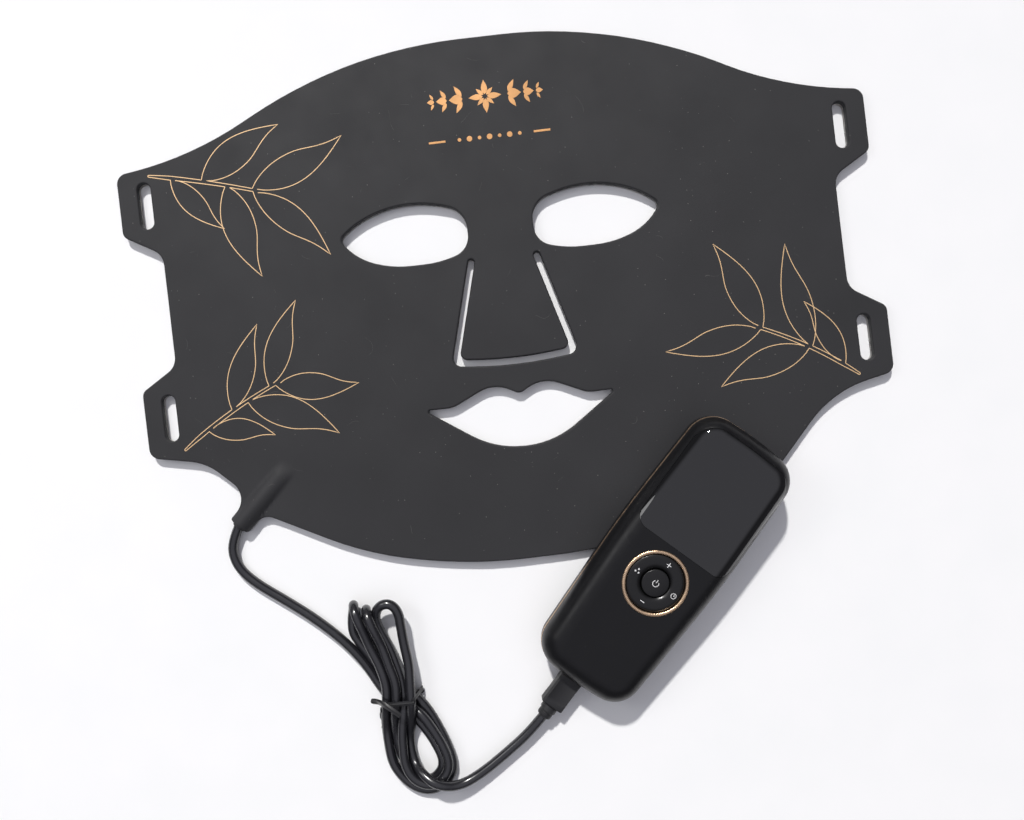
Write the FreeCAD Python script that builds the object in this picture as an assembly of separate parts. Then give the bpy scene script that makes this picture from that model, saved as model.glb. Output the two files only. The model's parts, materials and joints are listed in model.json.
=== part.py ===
import FreeCAD, Part
import math
import os

# Light-therapy face mask: a flat silicone sheet with light sources between two covers, and a
# hand-held controller on a cord. Millimetres. Origin: on the back face of the sheet, midway
# between the eye openings. +X to the right of the sheet, +Y to the forehead, +Z away from the skin.

V = FreeCAD.Vector
UP = V(0, 0, 1)

# ---------------------------------------------------------------- driving dimensions
BACK_T = 1.8             # back cover, thickness
SHEET_T = 4.6            # both covers together
EDGE_R = 0.7             # rounding of the front cover's rim
POCKET_TOP = 3.2         # ceiling of the pocket in the front cover
POCKET_RIM = 8.0         # bonded rim round the pocket
HOLE_RIM = 5.0           # bonded rim round each opening
FLAP_RIM = 3.5           # bonded rim of the nose flap
FLEX_T = 0.3             # flexible circuit
FLEX_GAP = 1.0           # from the circuit's edge to the pocket's wall
LED = (3.5, 2.8, 0.7)    # one light source
LED_GAP = 0.3            # clearance round it in the back cover
LED_PITCH = 18.0

STRAP_X = 159.2          # strap slots: distance from the middle
STRAP_Y = (28.4, -68.8)  # their heights on the face
STRAP_W = 6.0
STRAP_L = 21.0

SLOT_W = 3.0             # slot round the nose flap
HINGE_Y = -14.0          # the flap bends along this line
HINGE_GAP = 0.3
SLOT_TOP = (16.11, -12.4)  # upper corner of the slot's outer wall
NOSE_LOW = (29.3, -60.3) # lower corner of the slot's outer wall
FLAP_LOW = (25.47, -57.7)  # the same corner of the flap, a slot's width inwards
CHIN_CROWN = 3.2         # the flap's lower edge is this much lower in the middle

CORD_D = 4.4
CORD_Z = 2.25            # height of the cord's middle where it lies
BOOT_Z = 3.5             # height of the cord's middle where it leaves the sheet
TAB_END = V(-133.8, -121.0, 0)
TAB_DIR = V(-0.725, -0.688, 0)   # along the cable tab, outwards
HUMP_L = 34.5
BOOT_L = 12.0
BOOT_R = 2.9
BOOT_OUT = 0.8

CTRL_L = 133.0           # controller
CTRL_T = 22.0
CTRL_WALL = 2.0
CTRL_END_R = 13.0        # rounding of the controller's corners, seen from above
CTRL_TOP_R = 9.0         # and of its upper and lower edges
CTRL_LOW_R = 8.0
CTRL_SEAM = (10.6, 11.4) # the trim band sits between the two shells
CTRL_AT = V(54.07, -155.77, 4.07)  # middle of its underside
CTRL_YAW = -42.7
CTRL_PITCH = 2.8         # the display end is propped up by the sheet
CTRL_ROLL = 4.4          # and so is its left side
LENS_T = 1.3
LENS_SEAT = 1.4          # depth of its recess
POST_R = 2.8             # screw posts of the shells
POST_TOP = 20.3
POST_LOW = 0.7
SCREW_R = 0.85
SCREW_HOLE_R = 0.9
SCREW_HEAD_R = 1.9
KEY_Y = -9.3             # middle of the keys
KEY_WELL_R = 13.05
BEZEL_R = 14.75
BEZEL_SEAT = 1.0
RING_IN_R = 6.45         # ring key
RING_OUT_R = 12.75
RING_LOW = 18.6
WEB_LOW = 17.7
BUTTON_R = 6.15
DOME_R = 35.0            # crown of the power button
PIP_R = 9.7              # the four switches under the ring key
BOARD_Z = 14.4           # underside of the main board
BOARD_T = 1.0
PANEL_TOP = 20.2
SWITCH_HALF = 2.0
SWITCH_T = 1.4
PLUNGER_R = 0.9
PORT_MOUTH = -66.3
PORT_Z = 6.2             # middle of the socket
PLUG_START = -67.8       # where the plug's grip begins
PLUG_L = 15.8
PLUG_HALF_W = 5.4
PLUG_HALF_T = 3.2
PLUG_R = 1.4
PLUG_SHELL = (8.34, 2.54)  # outer width and height of the plug's metal shell
RELIEF_L = 6.0
RELIEF_R = (3.5, 2.7)
HANK_T = 12.6            # height of the bundled cord
TIE_Y = -208.5
TIE_W = 3.0

os.makedirs("parts", exist_ok=True)


def save(node, shape):
    """Write one node, and say its size."""
    solids = shape.Solids
    whole = Part.makeCompound(solids) if len(solids) > 1 else solids[0]
    whole.exportStep("parts/" + node + ".step")
    box = whole.BoundBox
    print("%-16s solids %3d  valid %s  volume %10.1f  x %.1f..%.1f y %.1f..%.1f z %.2f..%.2f" % (
        node, len(solids), whole.isValid(), whole.Volume,
        box.XMin, box.XMax, box.YMin, box.YMax, box.ZMin, box.ZMax))


# ---------------------------------------------------------------- drawing helpers
def rounded_polygon(corners):
    """Closed wire at z = 0: straight sides joined by tangent arcs. A corner is (x, y, radius)."""
    joints = []
    count = len(corners)
    for i, (x, y, radius) in enumerate(corners):
        here = V(x, y, 0)
        before = (V(*corners[i - 1][:2], 0) - here).normalize()
        after = (V(*corners[(i + 1) % count][:2], 0) - here).normalize()
        half = before.getAngle(after) / 2
        if radius == 0 or half > math.pi / 2 - 1e-6:
            joints.append((here, None, here))
            continue
        cut = radius / math.tan(half)
        middle = (before + after).normalize() * (radius / math.sin(half) - radius)
        joints.append((here + before * cut, here + middle, here + after * cut))
    edges = []
    for i, (start, middle, end) in enumerate(joints):
        if middle is not None:
            edges.append(Part.Arc(start, middle, end).toShape())
        following = joints[(i + 1) % count][0]
        if end.distanceToPoint(following) > 1e-4:
            edges.append(Part.LineSegment(end, following).toShape())
    return Part.Wire(edges)


def mirrored(right_side):
    """Corners of a figure symmetric about x = 0, from those with x >= 0, first and last on the axis."""
    left_side = [(-x, y, r) for x, y, r in reversed(right_side) if x > 0]
    return right_side + left_side


def flat(wire, low, high):
    """Plate with this outline between two heights."""
    plate = Part.Face(wire).extrude(V(0, 0, high - low))
    plate.translate(V(0, 0, low))
    return plate


def block(x0, x1, y0, y1, z0, z1):
    return Part.makeBox(x1 - x0, y1 - y0, z1 - z0, V(x0, y0, z0))


def rod(start, end, radius):
    return Part.makeCylinder(radius, start.distanceToPoint(end), start, end - start)


def slot_wire(x, y, width, length):
    r = width / 2
    h = length / 2
    return rounded_polygon([(x - r, y - h, r * 0.999), (x + r, y - h, r * 0.999),
                            (x + r, y + h, r * 0.999), (x - r, y + h, r * 0.999)])


def turned(profile):
    """Solid of revolution about the z axis. The profile is a closed list of (r, z) and arc middles."""
    edges = []
    for i, item in enumerate(profile):
        if len(item) == 3:
            continue
        following = profile[(i + 1) % len(profile)]
        start = V(item[0], 0, item[1])
        if len(following) == 3:
            end = profile[(i + 2) % len(profile)]
            middle = V(following[0], 0, following[1])
            edges.append(Part.Arc(start, middle, V(end[0], 0, end[1])).toShape())
        else:
            edges.append(Part.LineSegment(start, V(following[0], 0, following[1])).toShape())
    return Part.Face(Part.Wire(edges)).revolve(V(0, 0, 0), UP, 360)


def tube(name, points, diameter):
    """Round tube along straight runs joined by tangent arcs, each as large as its two runs allow."""
    edges = []
    radii = []
    at = points[0]
    for before, here, after in zip(points, points[1:], points[2:]):
        back = (before - here).normalize()
        on = (after - here).normalize()
        half = back.getAngle(on) / 2
        cut = 0.45 * min(here.distanceToPoint(before), here.distanceToPoint(after))
        radius = cut * math.tan(half)
        radii.append(radius)
        start = here + back * cut
        end = here + on * cut
        middle = here + (back + on).normalize() * (radius / math.sin(half) - radius)
        edges.append(Part.LineSegment(at, start).toShape())
        edges.append(Part.Arc(start, middle, end).toShape())
        at = end
    edges.append(Part.LineSegment(at, points[-1]).toShape())
    path = Part.Wire(edges)
    section = Part.Wire(Part.makeCircle(diameter / 2, points[0], points[1] - points[0]))
    swept = path.makePipeShell([section], True, True)
    print("%-16s length %.1f  volume over section times length %.4f  radii %s" % (
        name, path.Length, swept.Volume / (math.pi * diameter ** 2 / 4 * path.Length),
        " ".join("%.1f" % r for r in radii)))
    return swept


# ---------------------------------------------------------------- outlines of the sheet
# Crown, upper ear, cheek, lower ear, jaw and chin, from the top of the forehead down.
RIGHT_EDGE = [
    (60.85, 87.5, 212), (135.6, 48.6, 160), (171, 43.7, 5), (171, 15.5, 4), (154, 5.7, 8),
    (154, -45.5, 8), (170.5, -55.7, 4), (170.5, -85.9, 5), (141.7, -91.7, 52), (115.3, -120.6, 6),
    (78.3, -139.9, 150), (33.8, -151, 225)]
LEFT_EDGE = [
    (-33.8, -151, 225), (-78.3, -139.9, 150), (-122.4, -117.0, 7), (-130.4, -124.6, 0.8),
    (-137.2, -117.4, 0.8), (-127.6, -108.3, 9), (-145.5, -90.9, 24), (-170.5, -85.9, 5),
    (-170.5, -55.7, 4), (-154, -45.5, 8), (-154, 5.7, 8), (-171, 15.5, 4), (-171, 43.7, 5),
    (-135.6, 48.6, 160), (-60.85, 87.5, 212)]
RIGHT_EYE = [
    (49.4, 15.3, 50), (65.3, 9.6, 43), (73.6, 2.8, 3), (66.0, -6.9, 28), (50.2, -12.6, 46),
    (29.3, -12.6, 48), (15.05, -8.3, 9.5), (15.05, 10.0, 11), (33.3, 15.3, 50)]
MOUTH = mirrored([
    (0, -76.2, 4), (11, -69.8, 15.5), (31, -79.1, 12), (44, -78.9, 0.8), (13.4, -100, 42)])
WALL_SLOPE = (NOSE_LOW[0] - SLOT_TOP[0]) / (SLOT_TOP[1] - NOSE_LOW[1])
WALL_LEAN = math.atan(WALL_SLOPE)
SLOT_END_R = SLOT_W / 2 * 0.999


def wall_x(y, inward):
    """Half width of the nose at this height, measured inwards from the slot's outer wall."""
    return SLOT_TOP[0] + (SLOT_TOP[1] - y) * WALL_SLOPE - inward / math.cos(WALL_LEAN)


def trapezium(top_y, inward, low, low_r, crown_r):
    """Nose-shaped figure with a crowned lower edge."""
    top_x = wall_x(top_y, inward)
    return rounded_polygon(mirrored([
        (top_x, top_y, 0), (low[0], low[1], low_r), (0, low[1] - CHIN_CROWN * low[0] / NOSE_LOW[0], crown_r)]))


def nose_slot():
    """The slot that cuts the flap free on three sides, with round upper ends."""
    inner_top = (SLOT_TOP[0] - SLOT_W * math.cos(WALL_LEAN), SLOT_TOP[1] - SLOT_W * math.sin(WALL_LEAN))
    outer = [(SLOT_TOP[0], SLOT_TOP[1], SLOT_END_R), (NOSE_LOW[0], NOSE_LOW[1], 4),
             (0, NOSE_LOW[1] - CHIN_CROWN, 185), (-NOSE_LOW[0], NOSE_LOW[1], 4),
             (-SLOT_TOP[0], SLOT_TOP[1], SLOT_END_R)]
    inner = [(-inner_top[0], inner_top[1], SLOT_END_R), (-FLAP_LOW[0], FLAP_LOW[1], 3),
             (0, FLAP_LOW[1] - CHIN_CROWN * FLAP_LOW[0] / NOSE_LOW[0], 188), (FLAP_LOW[0], FLAP_LOW[1], 3),
             (inner_top[0], inner_top[1], SLOT_END_R)]
    return rounded_polygon(outer + inner)


def eye(side):
    return rounded_polygon([(side * x, y, r) for x, y, r in RIGHT_EYE])


SHEET_WIRE = rounded_polygon(RIGHT_EDGE + LEFT_EDGE)
HOLE_WIRES = [eye(1), eye(-1), rounded_polygon(MOUTH)]
STRAP_WIRES = [slot_wire(side * STRAP_X, y, STRAP_W, STRAP_L) for side in (1, -1) for y in STRAP_Y]
SLOT_WIRE = nose_slot()
NOSE_WIRE = trapezium(SLOT_TOP[1], 0, NOSE_LOW, 4, 185)
MID_LOW = ((NOSE_LOW[0] + FLAP_LOW[0]) / 2, (NOSE_LOW[1] + FLAP_LOW[1]) / 2)


def flap_zone(top_y):
    """Everything inside the slot's middle line and below this height on the face."""
    return flat(trapezium(top_y, SLOT_W / 2, MID_LOW, 0, 0), -1, 12)


def sheet(low, high):
    """The sheet between two heights, with all its openings, and the flap still joined to it."""
    openings = [flat(w, low - 1, high + 1) for w in HOLE_WIRES + STRAP_WIRES + [SLOT_WIRE]]
    return flat(SHEET_WIRE, low, high).cut(openings)


def pocket(inset, rim, low, high):
    """Space between the covers: inside the outline by inset, and clear of the openings by rim."""
    openings = [flat(w.makeOffset2D(rim), low - 1, high + 1) for w in HOLE_WIRES + [NOSE_WIRE]]
    openings += [flat(w.makeOffset2D(rim), low - 1, high + 1) for w in STRAP_WIRES]
    space = flat(SHEET_WIRE.makeOffset2D(-inset), low, high).cut(openings)
    return max(space.Solids, key=lambda solid: solid.Volume)


# ---------------------------------------------------------------- light sources
def led_places():
    """A square grid over the sheet, kept clear of its edge and its openings."""
    lane = Part.Face(SHEET_WIRE)
    walls = [SHEET_WIRE] + HOLE_WIRES + STRAP_WIRES + [NOSE_WIRE]
    holes = [Part.Face(w) for w in HOLE_WIRES + STRAP_WIRES + [NOSE_WIRE]]
    places = []
    for column in range(-9, 10):
        for row in range(-8, 5):
            at = V(column * LED_PITCH, row * LED_PITCH + 4.0, 0)
            clear = min(Part.Vertex(at).distToShape(w)[0] for w in walls)
            inside = lane.isInside(at, 0.01, True) and not any(h.isInside(at, 0.01, True) for h in holes)
            if inside and clear > POCKET_RIM + FLEX_GAP + 2.6:
                places.append(at)
    return places


FLAP_LEDS = [V(x, y, 0) for x, y in ((0, -24), (-9, -36), (9, -36), (-14, -49), (0, -49), (14, -49))]


def chips(places, size, low):
    return [Part.makeBox(size[0], size[1], size[2], V(p.x - size[0] / 2, p.y - size[1] / 2, low))
            for p in places]


def led_recesses(places):
    size = (LED[0] + 2 * LED_GAP, LED[1] + 2 * LED_GAP, LED[2] + 0.1)
    return chips(places, size, BACK_T - size[2])


# ---------------------------------------------------------------- the sheet
def tab_point(inward, z):
    """A point on the cable tab's middle line, this far in from its end."""
    return TAB_END - TAB_DIR * inward + V(0, 0, z)


def cable_hump():
    """Moulded ridge over the cable: it sinks into the sheet towards its upper end."""
    start = tab_point(0, BOOT_Z)
    end = tab_point(HUMP_L, 0.9)
    return Part.makeCone(4.4, 3.6, start.distanceToPoint(end), start, end - start)


def rim_edges(solid, height):
    """Edges of the top face at this height."""
    return [e for e in solid.Edges if abs(e.BoundBox.ZMin - height) < 1e-4
            and abs(e.BoundBox.ZMax - height) < 1e-4]


def make_sheet(front_sheet):
    leds = led_places()
    print("light sources", len(leds), "+", len(FLAP_LEDS))
    front = front_sheet.cut(flap_zone(HINGE_Y))
    above_back = block(-200, -60, -160, -60, BACK_T, 20)
    front = front.fuse(cable_hump().common(above_back)).removeSplitter()
    cable_way = rod(tab_point(-2, BOOT_Z), tab_point(BOOT_L, BOOT_Z), BOOT_R)
    wire_way = block(0, 17, -3, 3, BACK_T, POCKET_TOP + 0.3)
    wire_way.rotate(V(0, 0, 0), UP, math.degrees(math.atan2(-TAB_DIR.y, -TAB_DIR.x)))
    wire_way.translate(tab_point(BOOT_L - 0.2, 0))
    space = pocket(POCKET_RIM, HOLE_RIM, BACK_T, POCKET_TOP)
    front = front.cut([space, cable_way, wire_way])
    back = sheet(0, BACK_T).cut(led_recesses(leds) + [cable_way, flap_zone(HINGE_Y)])
    flex = pocket(POCKET_RIM + FLEX_GAP, HOLE_RIM + FLEX_GAP, BACK_T, BACK_T + FLEX_T)
    save("front_cover", front)
    save("back_cover", back)
    save("flex_circuit", flex)
    save("led_chips", Part.makeCompound(chips(leds, LED, BACK_T - LED[2])))
    beside = [p + V(0, 5.0, 0) for p in leds[::3]]
    save("chip_resistors", Part.makeCompound(chips(beside, (2.0, 1.25, 0.5), BACK_T + FLEX_T)))


def make_cable_entry():
    """Sleeve, jacket end, conductors and the board that they are soldered to."""
    sleeve = rod(tab_point(-BOOT_OUT, BOOT_Z), tab_point(BOOT_L, BOOT_Z), BOOT_R)
    bore = rod(tab_point(-BOOT_OUT - 1, BOOT_Z), tab_point(BOOT_L + 1, BOOT_Z), CORD_D / 2)
    save("cable_boot", sleeve.cut(bore))
    save("cord_stub", rod(tab_point(-BOOT_OUT, BOOT_Z), tab_point(BOOT_L - 0.4, BOOT_Z), CORD_D / 2))
    across = V(-TAB_DIR.y, TAB_DIR.x, 0)
    wires = []
    for i in range(4):
        side = across * (i - 1.5) * 1.1
        wires.append(rod(tab_point(BOOT_L - 0.4, 2.9) + side, tab_point(27, 2.9) + side, 0.4))
    save("lead_wires", Part.makeCompound(wires))
    board = Part.makeBox(14, 8, 0.6, V(0, -4, 0))
    board.rotate(V(0, 0, 0), UP, math.degrees(math.atan2(-TAB_DIR.y, -TAB_DIR.x)))
    board.translate(tab_point(27.3, BACK_T + FLEX_T))
    save("terminal_board", board)


def make_flap(front_sheet):
    """The nose flap: the same layers, cut free on three sides."""
    zone = flap_zone(HINGE_Y - HINGE_GAP)
    outline = trapezium(HINGE_Y - HINGE_GAP, SLOT_W, FLAP_LOW, 3, 188)
    space = flat(outline.makeOffset2D(-FLAP_RIM), BACK_T, POCKET_TOP)
    save("flap_front", front_sheet.common(zone).cut(space))
    save("flap_back", sheet(0, BACK_T).common(zone).cut(led_recesses(FLAP_LEDS)))
    save("flap_circuit", flat(outline.makeOffset2D(-FLAP_RIM - FLEX_GAP), BACK_T, BACK_T + FLEX_T))
    save("flap_leds", Part.makeCompound(chips(FLAP_LEDS, LED, BACK_T - LED[2])))


# ---------------------------------------------------------------- the controller, in its own frame
def to_row(shape):
    """Lay a piece of the controller where it rests, its display end propped on the sheet."""
    turn = (FreeCAD.Rotation(UP, CTRL_YAW) * FreeCAD.Rotation(V(1, 0, 0), CTRL_PITCH)
            * FreeCAD.Rotation(V(0, 1, 0), CTRL_ROLL))
    laid = shape.copy()
    laid.Placement = FreeCAD.Placement(CTRL_AT, turn) * laid.Placement
    return laid


def row_point(x, y, z):
    return to_row(Part.Vertex(V(x, y, z))).Vertexes[0].Point


def save_ctrl(node, shape):
    save(node, to_row(shape))


def ctrl_outline(inset):
    half = CTRL_L / 2 - inset
    end_r = max(CTRL_END_R - inset, 6)
    right = [(0, half + 0.6, 140), (25.4 - inset, half - 1.2, end_r), (27.3 - inset, 6, 420),
             (24.4 - inset, -half + 1.2, end_r), (0, -half - 0.6, 140)]
    return rounded_polygon(mirrored(right))


def ctrl_body(inset):
    """Rounded block of the controller, inset all round."""
    body = flat(ctrl_outline(inset), inset, CTRL_T - inset)
    top = rim_edges(body, CTRL_T - inset)
    bottom = rim_edges(body, inset)
    return body.makeFillet(CTRL_TOP_R - inset, top).makeFillet(CTRL_LOW_R - inset, bottom)


def lens_outline(inset):
    return rounded_polygon([
        (24.0 - inset, 7.8 + inset, 6 - inset), (24.0 - inset, 61.6 - inset, 11 - inset),
        (-24.0 + inset, 61.6 - inset, 11 - inset), (-24.0 + inset, 7.8 + inset, 6 - inset)])


BOSSES = [(side * 18.0, y) for side in (1, -1) for y in (-50.0, 54.0)]
BOARD = (-20.5, 20.5, -34.0, 46.0)


def key_place(shape):
    shape.translate(V(0, KEY_Y, 0))
    return shape


def make_shells():
    outer = ctrl_body(0)
    inner = ctrl_body(CTRL_WALL)
    skin = outer.cut(inner)
    upper = skin.common(block(-40, 40, -80, 80, CTRL_SEAM[1], 30))
    lower = skin.common(block(-40, 40, -80, 80, -5, CTRL_SEAM[0]))

    lens_skin = outer.cut(ctrl_body(LENS_SEAT))
    recess = lens_skin.common(flat(lens_outline(0), CTRL_SEAM[1], 30))
    window = block(-19.5, 19.5, 12.5, 47.5, 16, 30)
    well = key_place(Part.makeCylinder(KEY_WELL_R, 14, V(0, 0, 16)))
    groove = key_place(Part.makeCylinder(BEZEL_R, 2, V(0, 0, CTRL_T - BEZEL_SEAT)))
    posts = [Part.makeCylinder(POST_R, POST_TOP - CTRL_SEAM[1], V(x, y, CTRL_SEAM[1])) for x, y in BOSSES]
    screw_holes = [Part.makeCylinder(SCREW_HOLE_R, 6.5, V(x, y, CTRL_SEAM[1])) for x, y in BOSSES]
    upper = upper.fuse([p.common(outer) for p in posts]).cut([recess, window, well, groove] + screw_holes)
    save_ctrl("upper_shell", upper)

    lens_zone = flat(lens_outline(0.12), CTRL_SEAM[1], 30)
    save_ctrl("display_lens", outer.cut(ctrl_body(LENS_T)).common(lens_zone))

    port = rounded_polygon([(-4.9, PORT_Z - 2.0, 1.8), (4.9, PORT_Z - 2.0, 1.8),
                            (4.9, PORT_Z + 2.0, 1.8), (-4.9, PORT_Z + 2.0, 1.8)])
    port = Part.Face(port).extrude(V(0, 0, 12))
    port.rotate(V(0, 0, 0), V(1, 0, 0), 90)
    port.translate(V(0, -60, 0))
    posts = [Part.makeCylinder(POST_R, CTRL_SEAM[0] - POST_LOW, V(x, y, POST_LOW)) for x, y in BOSSES]
    ways = [Part.makeCylinder(1.15, 12, V(x, y, 0)) for x, y in BOSSES]
    seats = [Part.makeCylinder(2.1, 3.0, V(x, y, -0.5)) for x, y in BOSSES]
    shelf = [block(x - 1.5, x + 1.5, -62, -50, 1.5, 3.6) for x in (-8, 8)]
    lower = lower.fuse([p.common(outer) for p in posts] + shelf).cut(ways + seats + [port])
    save_ctrl("lower_shell", lower)

    band = flat(ctrl_outline(-0.15), CTRL_SEAM[0], CTRL_SEAM[1])
    save_ctrl("side_trim", band.cut(flat(ctrl_outline(1.5), 0, 20)))
    screws = []
    for x, y in BOSSES:
        head = Part.makeCylinder(SCREW_HEAD_R, 1.3, V(x, y, 1.2))
        cross = [block(x - 1.1, x + 1.1, y - 0.25, y + 0.25, 1.0, 1.9),
                 block(x - 0.25, x + 0.25, y - 1.1, y + 1.1, 1.0, 1.9)]
        screws.append(head.fuse(Part.makeCylinder(SCREW_R, 14.5, V(x, y, 2.4))).cut(cross))
    save_ctrl("shell_screws", Part.makeCompound(screws))


def make_keys():
    bezel = turned([(KEY_WELL_R, CTRL_T - BEZEL_SEAT), (BEZEL_R, CTRL_T - BEZEL_SEAT), (BEZEL_R, CTRL_T + 0.1),
                    ((KEY_WELL_R + BEZEL_R) / 2, CTRL_T + 0.5, "arc"), (KEY_WELL_R, CTRL_T + 0.1)])
    save_ctrl("bezel_ring", key_place(bezel))

    flange_r = RING_OUT_R + 1.0
    flange_top = RING_LOW + 0.8
    ring = turned([(RING_IN_R, RING_LOW), (flange_r, RING_LOW), (flange_r, flange_top), (RING_OUT_R, flange_top),
                   (RING_OUT_R, CTRL_T - 0.8), (9.9, CTRL_T + 0.1, "arc"), (RING_IN_R, CTRL_T - 1.2)])
    save_ctrl("rocker_ring", key_place(ring))

    web = turned([(7.5, WEB_LOW), (13.3, WEB_LOW), (13.3, WEB_LOW + 0.5), (7.5, WEB_LOW + 0.5)])
    pips = [Part.makeCylinder(1.4, 0.3, V(PIP_R * math.cos(a), PIP_R * math.sin(a), WEB_LOW - 0.2))
            for a in (0, math.pi / 2, math.pi, 3 * math.pi / 2)]
    save_ctrl("rocker_web", key_place(web.fuse(pips)))

    dome = Part.makeSphere(DOME_R, V(0, 0, CTRL_T + 0.3 - DOME_R))
    button = Part.makeCylinder(BUTTON_R, 6, V(0, 0, 18.4)).common(dome)
    button = button.fuse(Part.makeCylinder(1.6, 0.6, V(0, 0, 18.0)))
    save_ctrl("power_button", key_place(button))


def make_electronics():
    x0, x1, y0, y1 = BOARD
    top = BOARD_Z + BOARD_T
    save_ctrl("main_board", flat(rounded_polygon([
        (x0, y0, 3), (x1, y0, 3), (x1, y1, 3), (x0, y1, 3)]), BOARD_Z, top))
    save_ctrl("display_panel", block(-19, 19, 13, 45.5, top, PANEL_TOP))
    places = [(0, 0, 0.3)] + [(PIP_R * math.cos(a), PIP_R * math.sin(a), 0.0)
                              for a in (0, math.pi / 2, math.pi, 3 * math.pi / 2)]
    switches = []
    for x, y, taller in places:
        housing = block(x - SWITCH_HALF, x + SWITCH_HALF, KEY_Y + y - SWITCH_HALF, KEY_Y + y + SWITCH_HALF,
                        top, top + SWITCH_T)
        plunger = Part.makeCylinder(PLUNGER_R, 0.4 + taller, V(x, KEY_Y + y, top + SWITCH_T))
        switches.append(housing.fuse(plunger))
    save_ctrl("key_switches", Part.makeCompound(switches))
    save_ctrl("board_chips", Part.makeCompound([
        block(-4, 4, -22, -14, BOARD_Z - 1.2, BOARD_Z), block(9, 15, -24, -18, BOARD_Z - 2.6, BOARD_Z),
        block(-16, -11, -24, -19, BOARD_Z - 1.0, BOARD_Z), block(8, 13, 28, 33, BOARD_Z - 1.0, BOARD_Z)]))
    save_ctrl("buzzer", Part.makeCylinder(4.5, 3.0, V(12, 38.5, BOARD_Z - 3.0)))

    cell = block(-17, 17, -34, 18, 2.2, 9.4)
    save_ctrl("battery", cell.makeFillet(1.6, [e for e in cell.Edges if e.BoundBox.YLength > 40]))
    save_ctrl("battery_header", block(-9, -1, 27, 32, BOARD_Z - 3.2, BOARD_Z))
    leads = []
    for x in (-6.5, -3.5):
        leads.append(tube("battery_leads", [
            V(x, 18, 7.8), V(x, 21, 7.8), V(x, 22.9, 10.2), V(x, 24.6, 12.6), V(x, 27, 12.6)], 1.2))
    save_ctrl("battery_leads", Part.makeCompound(leads))

    save_ctrl("charge_board", block(-10, 10, -62.0, -47, 3.6, PORT_Z - 1.6))
    leads = []
    for i in range(4):
        x = (i - 1.5) * 2.4
        leads.append(tube("charge_leads", [
            V(x, -49, PORT_Z - 1.6), V(x, -49, 7.4), V(x, -45.5, 10.4), V(x, -39.5, 11.0), V(x, -33.6, 11.0),
            V(x, -31, 12.2), V(x, -31, BOARD_Z)], 0.9))
    save_ctrl("charge_leads", Part.makeCompound(leads))


def oval(width, height, start, length, z=PORT_Z):
    """Flat-sided oval bar along -Y from y = start."""
    r = height / 2 * 0.98
    wire = rounded_polygon([(-width / 2, -height / 2, r), (width / 2, -height / 2, r),
                            (width / 2, height / 2, r), (-width / 2, height / 2, r)])
    bar = Part.Face(wire).extrude(V(0, 0, length))
    bar.rotate(V(0, 0, 0), V(1, 0, 0), 90)
    bar.translate(V(0, start, z))
    return bar


def make_socket_and_plug():
    socket = oval(9.0, 3.2, PORT_MOUTH + 7.4, 7.4).cut(oval(8.44, 2.64, PORT_MOUTH + 6.9, 8.0))
    save_ctrl("usb_socket", socket)
    save_ctrl("usb_tongue", block(-3.3, 3.3, PORT_MOUTH + 0.8, PORT_MOUTH + 6.9,
                                 PORT_Z - 0.35, PORT_Z + 0.35))

    shell_end = PLUG_START + 6.7
    shell = oval(*PLUG_SHELL, shell_end, 8.7).cut(oval(7.8, 2.0, shell_end + 1, 7.2))
    save_ctrl("plug_shell", shell)
    strips = [block(-3.4, 3.4, PLUG_START + 0.6, PLUG_START + 5.9, PORT_Z + low, PORT_Z + low + 0.3)
              for low in (-0.85, 0.55)]
    root = block(-3.4, 3.4, PLUG_START + 0.6, PLUG_START + 1.1, PORT_Z - 0.85, PORT_Z + 0.85)
    save_ctrl("plug_contacts", root.fuse(strips))

    grip = block(-PLUG_HALF_W, PLUG_HALF_W, PLUG_START - PLUG_L, PLUG_START,
                 PORT_Z - PLUG_HALF_T, PORT_Z + PLUG_HALF_T)
    grip = grip.makeFillet(PLUG_R, [e for e in grip.Edges if e.BoundBox.YLength > 5])
    grip = grip.cut(oval(*PLUG_SHELL, PLUG_START + 1, 3.0))
    save_ctrl("plug_overmould", grip)
    back = PLUG_START - PLUG_L
    relief = Part.makeCone(*RELIEF_R, RELIEF_L, V(0, back, PORT_Z), V(0, -1, 0))
    save_ctrl("plug_relief", relief.cut(rod(V(0, back, PORT_Z), V(0, back - 20, PORT_Z), CORD_D / 2)))
    save_ctrl("plug_core", rod(V(0, back, PORT_Z), V(0, back - RELIEF_L, PORT_Z), CORD_D / 2))


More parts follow.
